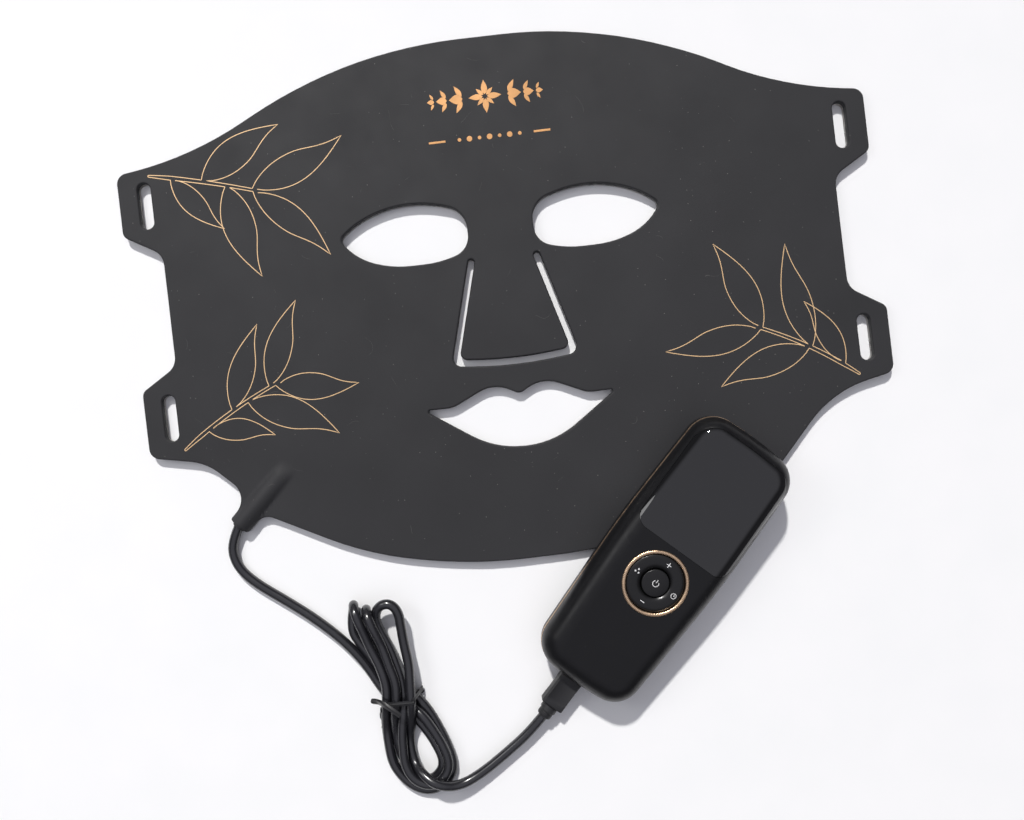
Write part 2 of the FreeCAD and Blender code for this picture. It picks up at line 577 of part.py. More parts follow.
# ---------------------------------------------------------------- the cord, chosen by hand
def make_cord():
    lead = [tab_point(-BOOT_OUT, BOOT_Z), V(-138.2, -128.2, 2.9), V(-138.5, -135.6, CORD_Z),
            V(-135.3, -142.4, CORD_Z), V(-128.6, -149.1, CORD_Z), V(-118.5, -156.6, CORD_Z),
            V(-105.5, -166.8, CORD_Z), V(-93.5, -178.3, CORD_Z), V(-84.5, -190.0, CORD_Z),
            V(-78.5, -202.0, CORD_Z)]
    save("cord_lead", tube("cord_lead", lead, CORD_D))
    plug_end = row_point(0, PLUG_START - PLUG_L - RELIEF_L, PORT_Z)
    print("plug end", plug_end)
    tail = [plug_end, V(-13.4, -229.2, 5.0), V(-24.5, -237.2, 4.6), V(-36.0, -244.6, 4.9),
            V(-47.5, -249.4, 6.6), V(-58.5, -250.8, 8.6)]
    save("cord_tail", tube("cord_tail", tail, CORD_D))

    loops = rounded_polygon([
        (-88.5, -160.5, 5), (-71, -161.0, 8), (-61.2, -190, 24), (-62.3, -212, 12), (-45.2, -233, 12),
        (-49.0, -252.5, 12), (-68, -257.0, 13), (-81.5, -236, 22), (-77.8, -210, 20), (-91, -182, 14)])
    save("cord_hank", flat(loops, 0, HANK_T))

    outer = rounded_polygon([
        (-79.2, 0.05, 4), (-61.2, 0.05, 4), (-61.2, HANK_T + 0.8, 5), (-79.2, HANK_T + 0.8, 5)])
    inner = rounded_polygon([
        (-78.4, -0.9, 3.2), (-62.0, -0.9, 3.2), (-62.0, HANK_T, 4.2), (-78.4, HANK_T, 4.2)])
    band = Part.Face(outer).extrude(V(0, 0, TIE_W)).cut(Part.Face(inner).extrude(V(0, 0, TIE_W)))
    band.rotate(V(0, 0, 0), V(1, 0, 0), 90)
    band.translate(V(0, TIE_Y, 0))
    ends = [rod(V(-78.6, -209.8, 8.5), V(-84.2, -206.6, 6.5), 0.9),
            rod(V(-74.5, -211.4, 13.0), V(-70.5, -215.4, 13.1), 0.8)]
    save("twist_tie", band.fuse(ends))


FRONT_SHEET = sheet(BACK_T, SHEET_T)
FRONT_SHEET = FRONT_SHEET.makeFillet(EDGE_R, rim_edges(FRONT_SHEET, SHEET_T))
make_sheet(FRONT_SHEET)
make_cable_entry()
make_flap(FRONT_SHEET)
make_shells()
make_keys()
make_electronics()
make_socket_and_plug()
make_cord()
AXES = [("slide axis", row_point(0, 1, 0) - row_point(0, 0, 0)),
        ("across axis", row_point(1, 0, 0) - row_point(0, 0, 0)),
        ("press axis", row_point(0, 0, 0) - row_point(0, 0, 1)),
        ("key pivot", row_point(0, KEY_Y, RING_LOW)),
        ("web pivot", row_point(0, KEY_Y, WEB_LOW)),
        ("port", row_point(0, PORT_MOUTH, PORT_Z))]
for label, value in AXES:
    print("%-12s %.7f %.7f %.7f" % (label, value.x, value.y, value.z))
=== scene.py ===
import json
import math

import bmesh
import bpy
import numpy as np
from mathutils import Euler, Matrix, Vector, geometry
from mathutils.bvhtree import BVHTree


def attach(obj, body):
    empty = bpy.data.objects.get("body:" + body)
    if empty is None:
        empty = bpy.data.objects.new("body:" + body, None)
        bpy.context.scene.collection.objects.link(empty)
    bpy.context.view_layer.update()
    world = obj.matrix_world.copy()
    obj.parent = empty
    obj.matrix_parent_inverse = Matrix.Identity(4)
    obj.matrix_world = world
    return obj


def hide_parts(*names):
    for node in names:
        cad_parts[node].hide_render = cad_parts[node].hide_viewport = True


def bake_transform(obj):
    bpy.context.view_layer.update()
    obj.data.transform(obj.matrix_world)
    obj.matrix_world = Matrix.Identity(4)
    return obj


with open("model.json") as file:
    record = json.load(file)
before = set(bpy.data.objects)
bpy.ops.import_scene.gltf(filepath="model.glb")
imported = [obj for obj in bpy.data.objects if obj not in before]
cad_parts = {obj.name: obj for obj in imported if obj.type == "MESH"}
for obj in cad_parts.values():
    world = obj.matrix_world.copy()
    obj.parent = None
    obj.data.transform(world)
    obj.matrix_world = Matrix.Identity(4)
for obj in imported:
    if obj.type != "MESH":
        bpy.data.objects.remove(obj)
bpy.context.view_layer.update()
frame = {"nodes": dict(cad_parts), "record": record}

NODES = frame["nodes"]
MM = 0.001

# Sizes that the CAD source also holds, in millimetres.
BACK_T = 1.8
SHEET_T = 4.6
EDGE_R = 0.7
HINGE_Y = -14.0
HINGE_GAP = 0.3
BEND_CUTS = 5
POCKET_TOP = 3.2
TAB_END = np.array([-133.8, -121.0])
TAB_DIR = np.array([-0.725, -0.688])
CTRL_AT = Vector((54.07, -155.77, 4.07))
CTRL_TURN = (Matrix.Rotation(math.radians(-42.7), 4, "Z") @ Matrix.Rotation(math.radians(2.8), 4, "X")
             @ Matrix.Rotation(math.radians(4.4), 4, "Y"))
CTRL = Matrix.Translation(CTRL_AT) @ CTRL_TURN
KEY_Y = -9.3
CORD_D = 4.4
TIE_Y = -208.5
HANK_WEST = -100.0


# ---------------------------------------------------------------- materials
def srgb(r, g, b):
    """Linear colour of an sRGB one given as 0 to 255."""
    return [((c / 255 + 0.055) / 1.055) ** 2.4 if c > 10 else c / 255 / 12.92 for c in (r, g, b)] + [1.0]


class Shader:
    """A small helper to wire procedural nodes into one Principled shader."""

    def __init__(self, name):
        self.material = bpy.data.materials.new(name)
        self.material.use_nodes = True
        self.nodes = self.material.node_tree.nodes
        self.links = self.material.node_tree.links
        self.bsdf = self.nodes["Principled BSDF"]
        self.coords = self.nodes.new("ShaderNodeTexCoord").outputs["Object"]

    def set(self, **values):
        for key, value in values.items():
            self.bsdf.inputs[key.replace("_", " ")].default_value = value

    def wire(self, source, target):
        self.links.new(source, target)

    def noise(self, scale, detail=2.0, stretch=None):
        node = self.nodes.new("ShaderNodeTexNoise")
        node.inputs["Scale"].default_value = scale
        node.inputs["Detail"].default_value = detail
        node.inputs["Roughness"].default_value = 0.5
        source = self.coords
        if stretch:
            mapping = self.nodes.new("ShaderNodeMapping")
            mapping.inputs["Scale"].default_value = stretch
            self.wire(self.coords, mapping.inputs["Vector"])
            source = mapping.outputs["Vector"]
        self.wire(source, node.inputs["Vector"])
        return node.outputs["Fac"]

    def spread(self, value, low, high, from_low=0.3, from_high=0.7):
        node = self.nodes.new("ShaderNodeMapRange")
        for key, number in (("From Min", from_low), ("From Max", from_high), ("To Min", low),
                            ("To Max", high)):
            node.inputs[key].default_value = number
        self.wire(value, node.inputs["Value"])
        return node.outputs["Result"]

    def mix(self, factor, first, second):
        node = self.nodes.new("ShaderNodeMix")
        node.data_type = "RGBA"
        self.wire(factor, node.inputs["Factor"])
        for index, value in ((6, first), (7, second)):
            if isinstance(value, (list, tuple)):
                node.inputs[index].default_value = value
            else:
                self.wire(value, node.inputs[index])
        return node.outputs[2]

    def maths(self, operation, first, second):
        node = self.nodes.new("ShaderNodeMath")
        node.operation = operation
        for index, value in enumerate((first, second)):
            if isinstance(value, (int, float)):
                node.inputs[index].default_value = value
            else:
                self.wire(value, node.inputs[index])
        return node.outputs[0]

    def bump(self, height, depth):
        node = self.nodes.new("ShaderNodeBump")
        node.inputs["Strength"].default_value = 1.0
        node.inputs["Distance"].default_value = depth
        self.wire(height, node.inputs["Height"])
        return node.outputs["Normal"]

    def specks(self, cell, size, share):
        """0 to 1: sparse dots of this size in metres, one cell in so many."""
        node = self.nodes.new("ShaderNodeTexVoronoi")
        node.inputs["Scale"].default_value = 1 / cell
        self.wire(self.coords, node.inputs["Vector"])
        dot = self.spread(node.outputs["Distance"], 1.0, 0.0, size / cell * 0.4, size / cell)
        split = self.nodes.new("ShaderNodeSeparateColor")
        self.wire(node.outputs["Color"], split.inputs["Color"])
        chosen = self.spread(split.outputs["Red"], 0.0, 1.0, 1 - share, 1 - share * 0.6)
        return self.maths("MULTIPLY", dot, chosen)

    def lint(self):
        """0 to 1: a few short curved hairs."""
        level = self.maths("ABSOLUTE", self.maths("SUBTRACT", self.noise(75, 0.0), 0.5), 0.0)
        hair = self.spread(level, 1.0, 0.0, 0.0004, 0.0014)
        return self.maths("MULTIPLY", hair, self.spread(self.noise(130, 0.0), 0.0, 0.45, 0.73, 0.77))


def moulded(name, colour, rough, grain=(2600, 0.00002), mottle=0.12, mottle_scale=60, wander=0.05,
            dust=0.0, dust_cell=0.006, dust_size=0.00022, **settings):
    """Moulded plastic or rubber: fine grain, slow colour change, uneven gloss, and a little dust."""
    s = Shader(name)
    dark = [c * (1 - mottle) for c in colour[:3]] + [1.0]
    light = [min(1.0, c * (1 + mottle)) for c in colour[:3]] + [1.0]
    tone = s.mix(s.spread(s.noise(mottle_scale, 4.0), 0.0, 1.0), dark, light)
    if dust:
        spots = s.maths("MULTIPLY", s.maths("MAXIMUM", s.specks(dust_cell, dust_size, 0.3), s.lint()), dust)
        tone = s.mix(spots, tone, srgb(190, 188, 182))
    s.wire(tone, s.bsdf.inputs["Base Color"])
    s.wire(s.spread(s.noise(mottle_scale * 3, 3.0), rough - wander, rough + wander),
           s.bsdf.inputs["Roughness"])
    s.wire(s.bump(s.noise(grain[0], 3.0), grain[1]), s.bsdf.inputs["Normal"])
    s.set(**settings)
    return s.material


def metal(name, colour, rough, stretch=(1, 1, 1), scale=900, depth=0.000004):
    """Metal with fine drawn lines."""
    s = Shader(name)
    lines = s.noise(scale, 3.0, stretch=stretch)
    dark = [c * 0.82 for c in colour[:3]] + [1.0]
    s.wire(s.mix(s.spread(lines, 0.0, 1.0), dark, colour), s.bsdf.inputs["Base Color"])
    s.wire(s.spread(s.noise(scale / 3), rough * 0.7, rough * 1.4), s.bsdf.inputs["Roughness"])
    s.wire(s.bump(lines, depth), s.bsdf.inputs["Normal"])
    s.set(Metallic=1.0)
    return s.material


def circuit(name, ground, track, scale, width):
    """Printed circuit: tracks as a stepped pattern over a laminate."""
    s = Shader(name)
    brick = s.nodes.new("ShaderNodeTexBrick")
    brick.inputs["Scale"].default_value = scale
    brick.inputs["Mortar Size"].default_value = width
    brick.inputs["Color1"].default_value = ground
    brick.inputs["Color2"].default_value = [c * 0.88 for c in ground[:3]] + [1.0]
    brick.inputs["Mortar"].default_value = track
    s.wire(s.coords, brick.inputs["Vector"])
    s.wire(s.mix(s.spread(s.noise(90), 0.0, 0.25), brick.outputs["Color"], ground),
           s.bsdf.inputs["Base Color"])
    s.wire(s.bump(brick.outputs["Fac"], 0.00002), s.bsdf.inputs["Normal"])
    s.wire(s.spread(s.noise(300), 0.3, 0.45), s.bsdf.inputs["Roughness"])
    return s.material


SILICONE = moulded("silicone_black_skin", srgb(46, 46, 48), 0.62, grain=(1900, 0.00003), mottle=0.08,
                   mottle_scale=22,
                   dust=0.42, dust_cell=0.0024, dust_size=0.00021, Specular_IOR_Level=0.28,
                   Sheen_Weight=0.05,
                   Sheen_Roughness=0.5)
CLEAR = moulded("silicone_clear_skin", srgb(236, 232, 226), 0.3, mottle=0.02, Transmission_Weight=0.85,
                IOR=1.41)
SHELL = moulded("shell_black_skin", srgb(18, 18, 20), 0.33, grain=(3200, 0.000012), mottle=0.06, dust=0.35,
                dust_cell=0.0045, dust_size=0.00012, Specular_IOR_Level=0.3)
KEYS = moulded("key_black_skin", srgb(13, 13, 14), 0.3, grain=(3600, 0.00001), mottle=0.05)
LENS = moulded("lens_gloss_skin", srgb(9, 9, 10), 0.03, grain=(200, 0.0000004), mottle=0.05, wander=0.01,
               Coat_Weight=0.6, Coat_Roughness=0.02, Specular_IOR_Level=0.6)
CORD = moulded("cord_jacket_skin", srgb(29, 29, 33), 0.24, grain=(1500, 0.000008), mottle=0.1, wander=0.05,
               Specular_IOR_Level=0.85)
PLUG = moulded("plug_plastic_skin", srgb(33, 33, 35), 0.5, grain=(2400, 0.00003), mottle=0.08, dust=0.2,
               dust_cell=0.004, dust_size=0.00012)
TIE = moulded("tie_plastic_skin", srgb(33, 33, 35), 0.45, grain=(1200, 0.00002), mottle=0.12)
PRINT = moulded("gold_print_skin", srgb(212, 158, 102), 0.42, grain=(2600, 0.00001), mottle=0.1,
                mottle_scale=160,
                Metallic=0.35)
LINE = moulded("gold_line_skin", srgb(236, 198, 150), 0.45, mottle=0.08, mottle_scale=300, Metallic=0.3)
GOLD = metal("gold_trim_skin", srgb(242, 208, 172), 0.3)
MARKS = moulded("white_print_skin", srgb(226, 226, 226), 0.5, mottle=0.04)
STEEL = metal("steel_skin", srgb(190, 190, 192), 0.28, stretch=(1, 8, 1))
COPPER = metal("copper_skin", srgb(214, 132, 96), 0.3)
GREEN = circuit("board_green_skin", srgb(22, 84, 48), srgb(60, 132, 80), 420, 0.035)
FLEX = circuit("flex_film_skin", srgb(206, 148, 70), srgb(222, 172, 120), 160, 0.03)
LED = moulded("led_body_skin", srgb(236, 226, 150), 0.25, grain=(2000, 0.00001), mottle=0.1,
              mottle_scale=600)
CERAMIC = moulded("ceramic_skin", srgb(26, 26, 28), 0.5, mottle=0.2, mottle_scale=500)
SCREEN = moulded("screen_skin", srgb(16, 18, 22), 0.2, mottle=0.1)
FOIL = metal("foil_skin", srgb(172, 176, 180), 0.36, scale=500, depth=0.00002)
HEADER = moulded("header_skin", srgb(224, 220, 208), 0.45)

SKINS = {
    "silicone_black": SILICONE, "silicone_clear": CLEAR, "flex_film": FLEX, "led_body": LED,
    "ceramic": CERAMIC, "board_green": GREEN, "copper": COPPER, "cord_jacket": CORD,
    "tie_plastic": TIE, "plug_plastic": PLUG, "steel": STEEL, "shell_black": SHELL,
    "gold_trim": GOLD, "lens_smoke": LENS, "screen": SCREEN, "key_black": KEYS,
    "foil": FOIL, "header_white": HEADER}


# ---------------------------------------------------------------- mesh helpers
def piece(name, verts, faces, skin, body=None, replaces=(), crease=32):
    """A mesh from points in millimetres, shaded smooth up to the crease angle, riding on a body."""
    mesh = bpy.data.meshes.new(name)
    mesh.from_pydata([Vector(v) * MM for v in verts], [], faces)
    mesh.validate()
    mesh.materials.append(skin)
    return dress(bpy.data.objects.new(name, mesh), body, replaces, crease)


def dress(obj, body=None, replaces=(), crease=32):
    bpy.context.scene.collection.objects.link(obj)
    if obj.type == "MESH":
        obj.data.polygons.foreach_set("use_smooth", [True] * len(obj.data.polygons))
        obj.data.set_sharp_from_angle(angle=math.radians(crease))
    if body:
        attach(obj, body)
    if replaces:
        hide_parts(*replaces)
    return obj


def swept(name, path, section, skin, body, up, replaces):
    """A flat section of (across, out) points carried along a path. Across lies square to up(i)."""
    path = [Vector(p) for p in path]
    verts, faces = [], []
    count, wide = len(path), len(section)
    for i, p in enumerate(path):
        before = path[i - 1] if i else p
        after = path[i + 1] if i + 1 < count else p
        along = (after - before).normalized()
        across = up(i).cross(along).normalized()
        out = along.cross(across).normalized()
        verts += [p + across * a + out * b for a, b in section]
    for i in range(count - 1):
        for k in range(wide):
            m = (k + 1) % wide
            faces.append((i * wide + k, i * wide + m, (i + 1) * wide + m, (i + 1) * wide + k))
    faces += [tuple(range(wide))[::-1], tuple((count - 1) * wide + k for k in range(wide))]
    return piece(name, verts, faces, skin, body, replaces, crease=40)


def turned(profile, steps, at=(0, 0, 0), wave=None, frame_=None):
    """Points and faces of a closed profile of (radius, height) turned about a vertical axis."""
    verts, faces = [], []
    wide = len(profile)
    for i in range(steps):
        a = math.tau * i / steps
        for k, (r, z) in enumerate(profile):
            if wave:
                r, z = wave(i, k, r, z)
            verts.append(Vector((at[0] + r * math.cos(a), at[1] + r * math.sin(a), at[2] + z)))
    for i in range(steps):
        j = (i + 1) % steps
        for k in range(wide):
            m = (k + 1) % wide
            faces.append((i * wide + k, j * wide + k, j * wide + m, i * wide + m))
    if frame_ is not None:
        verts = [frame_ @ v for v in verts]
    return verts, faces


def smooth(t):
    t = np.clip(t, 0, 1)
    return t * t * (3 - 2 * t)


def clean(node):
    """A bmesh of a CAD node in millimetres with its doubled points merged."""
    bm = bmesh.new()
    bm.from_mesh(NODES[node].data)
    bmesh.ops.scale(bm, vec=(1000, 1000, 1000), verts=bm.verts)
    bmesh.ops.remove_doubles(bm, verts=bm.verts, dist=0.002)
    bm.normal_update()
    return bm


def rims(node, height):
    """Outlines of a node's flat face at this height, as loops with the material on their left."""
    bm = clean(node)
    level = {f for f in bm.faces if all(abs(v.co.z - height) < 0.01 for v in f.verts)}
    follow = {}
    for f in level:
        for loop in f.loops:
            if sum(g in level for g in loop.edge.link_faces) == 1:
                a, b = loop.vert.co.xy.copy().freeze(), loop.link_loop_next.vert.co.xy.copy().freeze()
                follow[a] = b
    facing_down = next(iter(level)).normal.z < 0
    loops = []
    while follow:
        first = here = next(iter(follow))
        loop = []
        while here in follow:
            loop.append(here)
            here = follow.pop(here)
        loops.append(np.array(loop[::-1] if facing_down else loop))
    bm.free()
    return loops


# ---------------------------------------------------------------- the sheet
def swell(x, y):
    """Slow unevenness of the soft sheet, in millimetres."""
    return (0.10 * np.sin(x / 13.0 + 0.6 * np.sin(y / 17.0)) * np.cos(y / 15.0 + 1.0)
            + 0.06 * np.sin(x / 7.0 - y / 9.0 + 0.5) + 0.05 * np.cos(y / 6.5 + x / 21.0))


def hump(x, y):
    """Moulded ridge over the cable, highest at the tab's end, sinking into the sheet."""
    dx, dy = x - TAB_END[0], y - TAB_END[1]
    inward = -(dx * TAB_DIR[0] + dy * TAB_DIR[1])
    side = dx * TAB_DIR[1] - dy * TAB_DIR[0]
    t = np.clip(inward / 37.0, 0, 1)
    height = 3.3 * (1 - 0.75 * t ** 1.4) * smooth((1 - t) / 0.22)
    u = np.clip(np.abs(side) / (4.7 - 0.5 * t), 0, 1)
    return height * (1 - u * u) ** 0.85


def top_height(x, y):
    """Height of the sheet's outer face."""
    return SHEET_T + swell(x, y) + hump(x, y)


def inset_directions(loop, on_hinge):
    """How each point of a loop moves for an inset of one, keeping points of the hinge line on it."""
    edge = np.roll(loop, -1, 0) - loop
    normal = np.stack([-edge[:, 1], edge[:, 0]], 1) / np.linalg.norm(edge, axis=1)[:, None]
    depth = np.where(on_hinge, 0.0, 1.0)
    moves = []
    for i in range(len(loop)):
        pair, goal = np.stack([normal[i - 1], normal[i]]), np.array([depth[i - 1], depth[i]])
        if abs(np.linalg.det(pair)) > 0.05:
            moves.append(np.linalg.solve(pair, goal))
        else:
            mean = normal[i - 1] + normal[i]
            moves.append(mean / np.dot(mean, normal[i]) * goal.mean())
    return np.array(moves)


def subdivided(loop, step):
    points = []
    for a, b in zip(loop, np.roll(loop, -1, 0)):
        parts = max(1, math.ceil(np.linalg.norm(b - a) / step - 1e-3))
        points += [a + (b - a) * k / parts for k in range(parts)]
    return np.array(points)


def inside(points, loops):
    """Even-odd test of points against all loops."""
    hit = np.zeros(len(points), bool)
    for loop in loops:
        for a, b in zip(loop, np.roll(loop, -1, 0)):
            cross = (a[1] > points[:, 1]) != (b[1] > points[:, 1])
            with np.errstate(divide="ignore", invalid="ignore"):
                at = a[0] + (points[:, 1] - a[1]) * (b[0] - a[0]) / (b[1] - a[1])
            hit ^= cross & (points[:, 0] < at)
    return hit


RIM_STEP = 3.0


def skin_mesh(loops, seeds):
    """Rim, rounded edge and uneven outer face of the front cover, in millimetres."""
    turns = [math.radians(a) for a in (0, 15, 35, 55, 75, 90)]
    verts, faces, border, edges = [], [], [], []
    for loop in loops:
        loop = subdivided(loop, RIM_STEP)
        nxt = np.roll(loop, -1, 0)
        on_hinge = (np.abs(loop[:, 1] - HINGE_Y) < 0.02) & (np.abs(nxt[:, 1] - HINGE_Y) < 0.02)
        moves = inset_directions(loop, on_hinge)
        rings = [(0.0, BACK_T)]
        rings += [(EDGE_R * (1 - math.cos(a)), SHEET_T - EDGE_R * (1 - math.sin(a))) for a in turns]
        count, base = len(loop), len(verts)
        for inset, z in rings:
            xy = loop + moves * inset
            rise = (z - BACK_T) / (SHEET_T - BACK_T)
            tops = z + rise * (swell(xy[:, 0], xy[:, 1]) + hump(xy[:, 0], xy[:, 1]))
            verts += [(x, y, t) for (x, y), t in zip(xy, tops)]
        for r in range(len(rings) - 1):
            for i in range(count):
                if not on_hinge[i]:
                    j = (i + 1) % count
                    low, high = base + r * count, base + (r + 1) * count
                    faces.append((low + j, low + i, high + i, high + j))
        last = base + (len(rings) - 1) * count
        start = len(border)
        border += list(range(last, last + count))
        edges += [(start + i, start + (i + 1) % count) for i in range(count)]
    flat_border = [np.array(verts[i][:2]) for i in border]
    ends = np.array(flat_border)
    lanes = []
    at = 0
    for loop in loops:
        n = len(subdivided(loop, RIM_STEP))
        lanes.append(ends[at:at + n])
        at += n
    seeds = seeds[inside(seeds, lanes)]
    clear = np.array([np.min(np.sum((ends - p) ** 2, 1)) for p in seeds]) > 0.8 ** 2
    seeds = seeds[clear]
    given = [Vector(p) for p in flat_border] + [Vector(p) for p in seeds]
    out, _, tris, origin, _, _ = geometry.delaunay_2d_cdt(given, edges, [], 0, 1e-5)
    centres = np.array([(out[a] + out[b] + out[c]) / 3 for a, b, c in tris])
    keep = inside(centres, lanes)
    index = {}
    for i, p in enumerate(out):
        source = [o for o in origin[i] if o < len(border)]
        if source:
            index[i] = border[source[0]]
        else:
            index[i] = len(verts)
            verts.append((p.x, p.y, float(top_height(p.x, p.y))))
    faces += [tuple(index[k] for k in tri) for tri, kept in zip(tris, keep) if kept]
    return verts, faces


def add_underside(bm, node, move_hinge):
    """Bonded rim and pocket of a front cover, taken over from its CAD solid."""
    under = clean(node)
    drop = [f for f in under.faces if max(v.co.z for v in f.verts) > POCKET_TOP + 0.02]
    bmesh.ops.delete(under, geom=drop, context="FACES")
    if move_hinge:
        to_hinge(under)
    made = {v: bm.verts.new(v.co) for v in under.verts}
    for f in under.faces:
        bm.faces.new([made[v] for v in f.verts])
    under.free()


def to_hinge(bm):
    """Close the gap that the CAD solids leave along the hinge line."""
    for v in bm.verts:
        if abs(v.co.y - HINGE_Y + HINGE_GAP) < 0.02:
            v.co.y = HINGE_Y


def finish_sheet(name, bm, skin, cut_bands):
    bmesh.ops.remove_doubles(bm, verts=bm.verts, dist=0.004)
    if cut_bands:
        for k in range(1, BEND_CUTS + 1):
            everything = bm.verts[:] + bm.edges[:] + bm.faces[:]
            bmesh.ops.bisect_plane(bm, geom=everything, plane_co=(0, HINGE_Y - k, 0), plane_no=(0, 1, 0))
    bmesh.ops.scale(bm, vec=(MM, MM, MM), verts=bm.verts)
    mesh = bpy.data.meshes.new(name)
    bm.to_mesh(mesh)
    bm.free()
    mesh.materials.append(skin)
    return dress(bpy.data.objects.new(name, mesh))


def seeds_over(x0, x1, y0, y1, step):
    xs, ys = np.meshgrid(np.arange(x0, x1, step), np.arange(y0, y1, step))
    xs = xs + (np.round((ys - y0) / step) % 2) * step / 2
    return np.stack([xs.ravel(), ys.ravel()], 1)


def make_front_cover():
    coarse = seeds_over(-172, 172, -152, 88, 4.0)
    fine = seeds_over(-142, -100, -126, -90, 1.1)
    across = np.array([TAB_DIR[1], -TAB_DIR[0]])
    inward, side = -((coarse - TAB_END) @ TAB_DIR), (coarse - TAB_END) @ across
    coarse = coarse[~((inward < 42) & (np.abs(side) < 9))]
    inward, side = -((fine - TAB_END) @ TAB_DIR), (fine - TAB_END) @ across
    fine = fine[(inward < 41) & (np.abs(side) < 8)]
    verts, faces = skin_mesh(rims("back_cover", 0.0), np.concatenate([coarse, fine]))
    bm = bmesh.new()
    points = [bm.verts.new(v) for v in verts]
    for f in faces:
        bm.faces.new([points[i] for i in f])
    add_underside(bm, "front_cover", False)
    sheet = finish_sheet("mask_front_cover", bm, SILICONE, False)
    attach(sheet, "mask")
    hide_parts("front_cover")


def make_flap():
    loops = rims("flap_back", 0.0)
    ends = [p for loop in rims("back_cover", 0.0) for p in loop if abs(p[1] - HINGE_Y) < 0.02]
    for loop in loops:
        for p in loop:
            if abs(p[1] - HINGE_Y + HINGE_GAP) < 0.02:
                p[:] = min(ends, key=lambda e: abs(e[0] - p[0]))
    verts, faces = skin_mesh(loops, seeds_over(-27, 27, -62, -14.8, 2.0))
    bm = bmesh.new()
    points = [bm.verts.new(v) for v in verts]
    for f in faces:
        bm.faces.new([points[i] for i in f])
    add_underside(bm, "flap_front", True)
    front = finish_sheet("nose_flap_front", bm, SILICONE, True)
    bm = clean("flap_back")
    to_hinge(bm)
    back = finish_sheet("nose_flap_back", bm, CLEAR, True)
    for obj, node in ((front, "flap_front"), (back, "flap_back")):
        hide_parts(node)
        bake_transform(obj)


make_front_cover()
make_flap()


# ---------------------------------------------------------------- printed lines and figures
def ribbon(name, path, width, skin, slot, body, closed=False, lift=0.05, surface=None, frame_=None):
    """A printed line of this width along flat points, just proud of the surface below it."""
    surface = surface or (lambda x, y: float(top_height(x, y)))
    path = [np.array(p, float) for p in path]
    verts, faces = [], []
    count = len(path)
    for i, p in enumerate(path):
        before = path[i - 1] if i or closed else p
        after = path[(i + 1) % count] if i + 1 < count or closed else p
        step = (after - before) / max(np.linalg.norm(after - before), 1e-9)
        side = np.array([-step[1], step[0]]) * width / 2
        for q, h in ((p + side, -lift), (p + side * 0.8, lift), (p - side * 0.8, lift), (p - side, -lift)):
            verts.append(Vector((q[0], q[1], surface(*q) + h)))
    for i in range(count if closed else count - 1):
        j = (i + 1) % count
        for k in range(3):
            faces.append((i * 4 + k, j * 4 + k, j * 4 + k + 1, i * 4 + k + 1))
    if frame_ is not None:
        verts = [frame_ @ v for v in verts]
    return piece(name, verts, faces, skin, body)


def leaf_side(base, tip, bulge, lean, steps=22, drip=0.0):
    """One edge of a pointed leaf: bulge is its greatest distance from the midrib, lean bends the tip,
    and drip draws the tip out."""
    base, tip = np.array(base, float), np.array(tip, float)
    along = tip - base
    square = np.array([-along[1], along[0]]) / np.linalg.norm(along)
    t = np.linspace(0, 1, steps)
    away = bulge * np.sin(math.pi * t ** 0.85) * (1.12 - 0.3 * t) * (1 - drip * smooth((t - 0.5) / 0.42))
    away += lean * (t - t ** 3) * 2.2
    return base + np.outer(t, along) + np.outer(away, square)


LINE_W = 0.42


def sprig(name, stem, leaves):
    """A generic twig: a double stem line and outlined leaves.

    A leaf is its place along the stem, its tip, its half width, its lean and the side it grows on.
    """
    start, end = np.array(stem[0]), np.array(stem[1])
    bow = stem[2]
    along = end - start
    square = np.array([-along[1], along[0]]) / np.linalg.norm(along)

    def on_stem(t, off=0.0):
        return start + along * t + square * (bow * 4 * t * (1 - t) + off)

    half, root_gap = 0.95, 0.022
    number = 0
    for side in (1, -1):
        roots = sorted(leaf[0] for leaf in leaves if leaf[4] == side)
        at = 0.0
        for root in roots + [1.0]:
            stop = root - root_gap
            if stop - at > 0.03:
                line = [on_stem(t, side * half * min(1, 0.45 + 3 * t) * (1 - 0.35 * t))
                        for t in np.linspace(at, min(stop, 0.99), 12)]
                ribbon(f"{name}_stem_{number}", line, LINE_W, LINE, "gold_trim", "mask")
                number += 1
            at = root + root_gap
    cap = [on_stem(0.0, 0.43 * math.cos(a)) - along / np.linalg.norm(along) * 0.43 * math.sin(a)
           for a in np.linspace(0, math.pi, 9)]
    ribbon(f"{name}_stem_end", cap, LINE_W, LINE, "gold_trim", "mask")
    for i, (root, tip, wide, lean, side) in enumerate(leaves):
        low, high = (on_stem(root + gap, side * half * 0.8) for gap in (-root_gap, root_gap))
        if side == -1:
            low, high = high, low
        left = leaf_side(low, tip, wide, lean, drip=0.0 if lean > 0 else 0.42)
        right = leaf_side(high, tip, -wide, lean, drip=0.42 if lean > 0 else 0.0)
        edge = np.concatenate([left, right[::-1][1:]])
        ribbon(f"{name}_leaf_{i}", edge, LINE_W, LINE, "gold_trim", "mask")


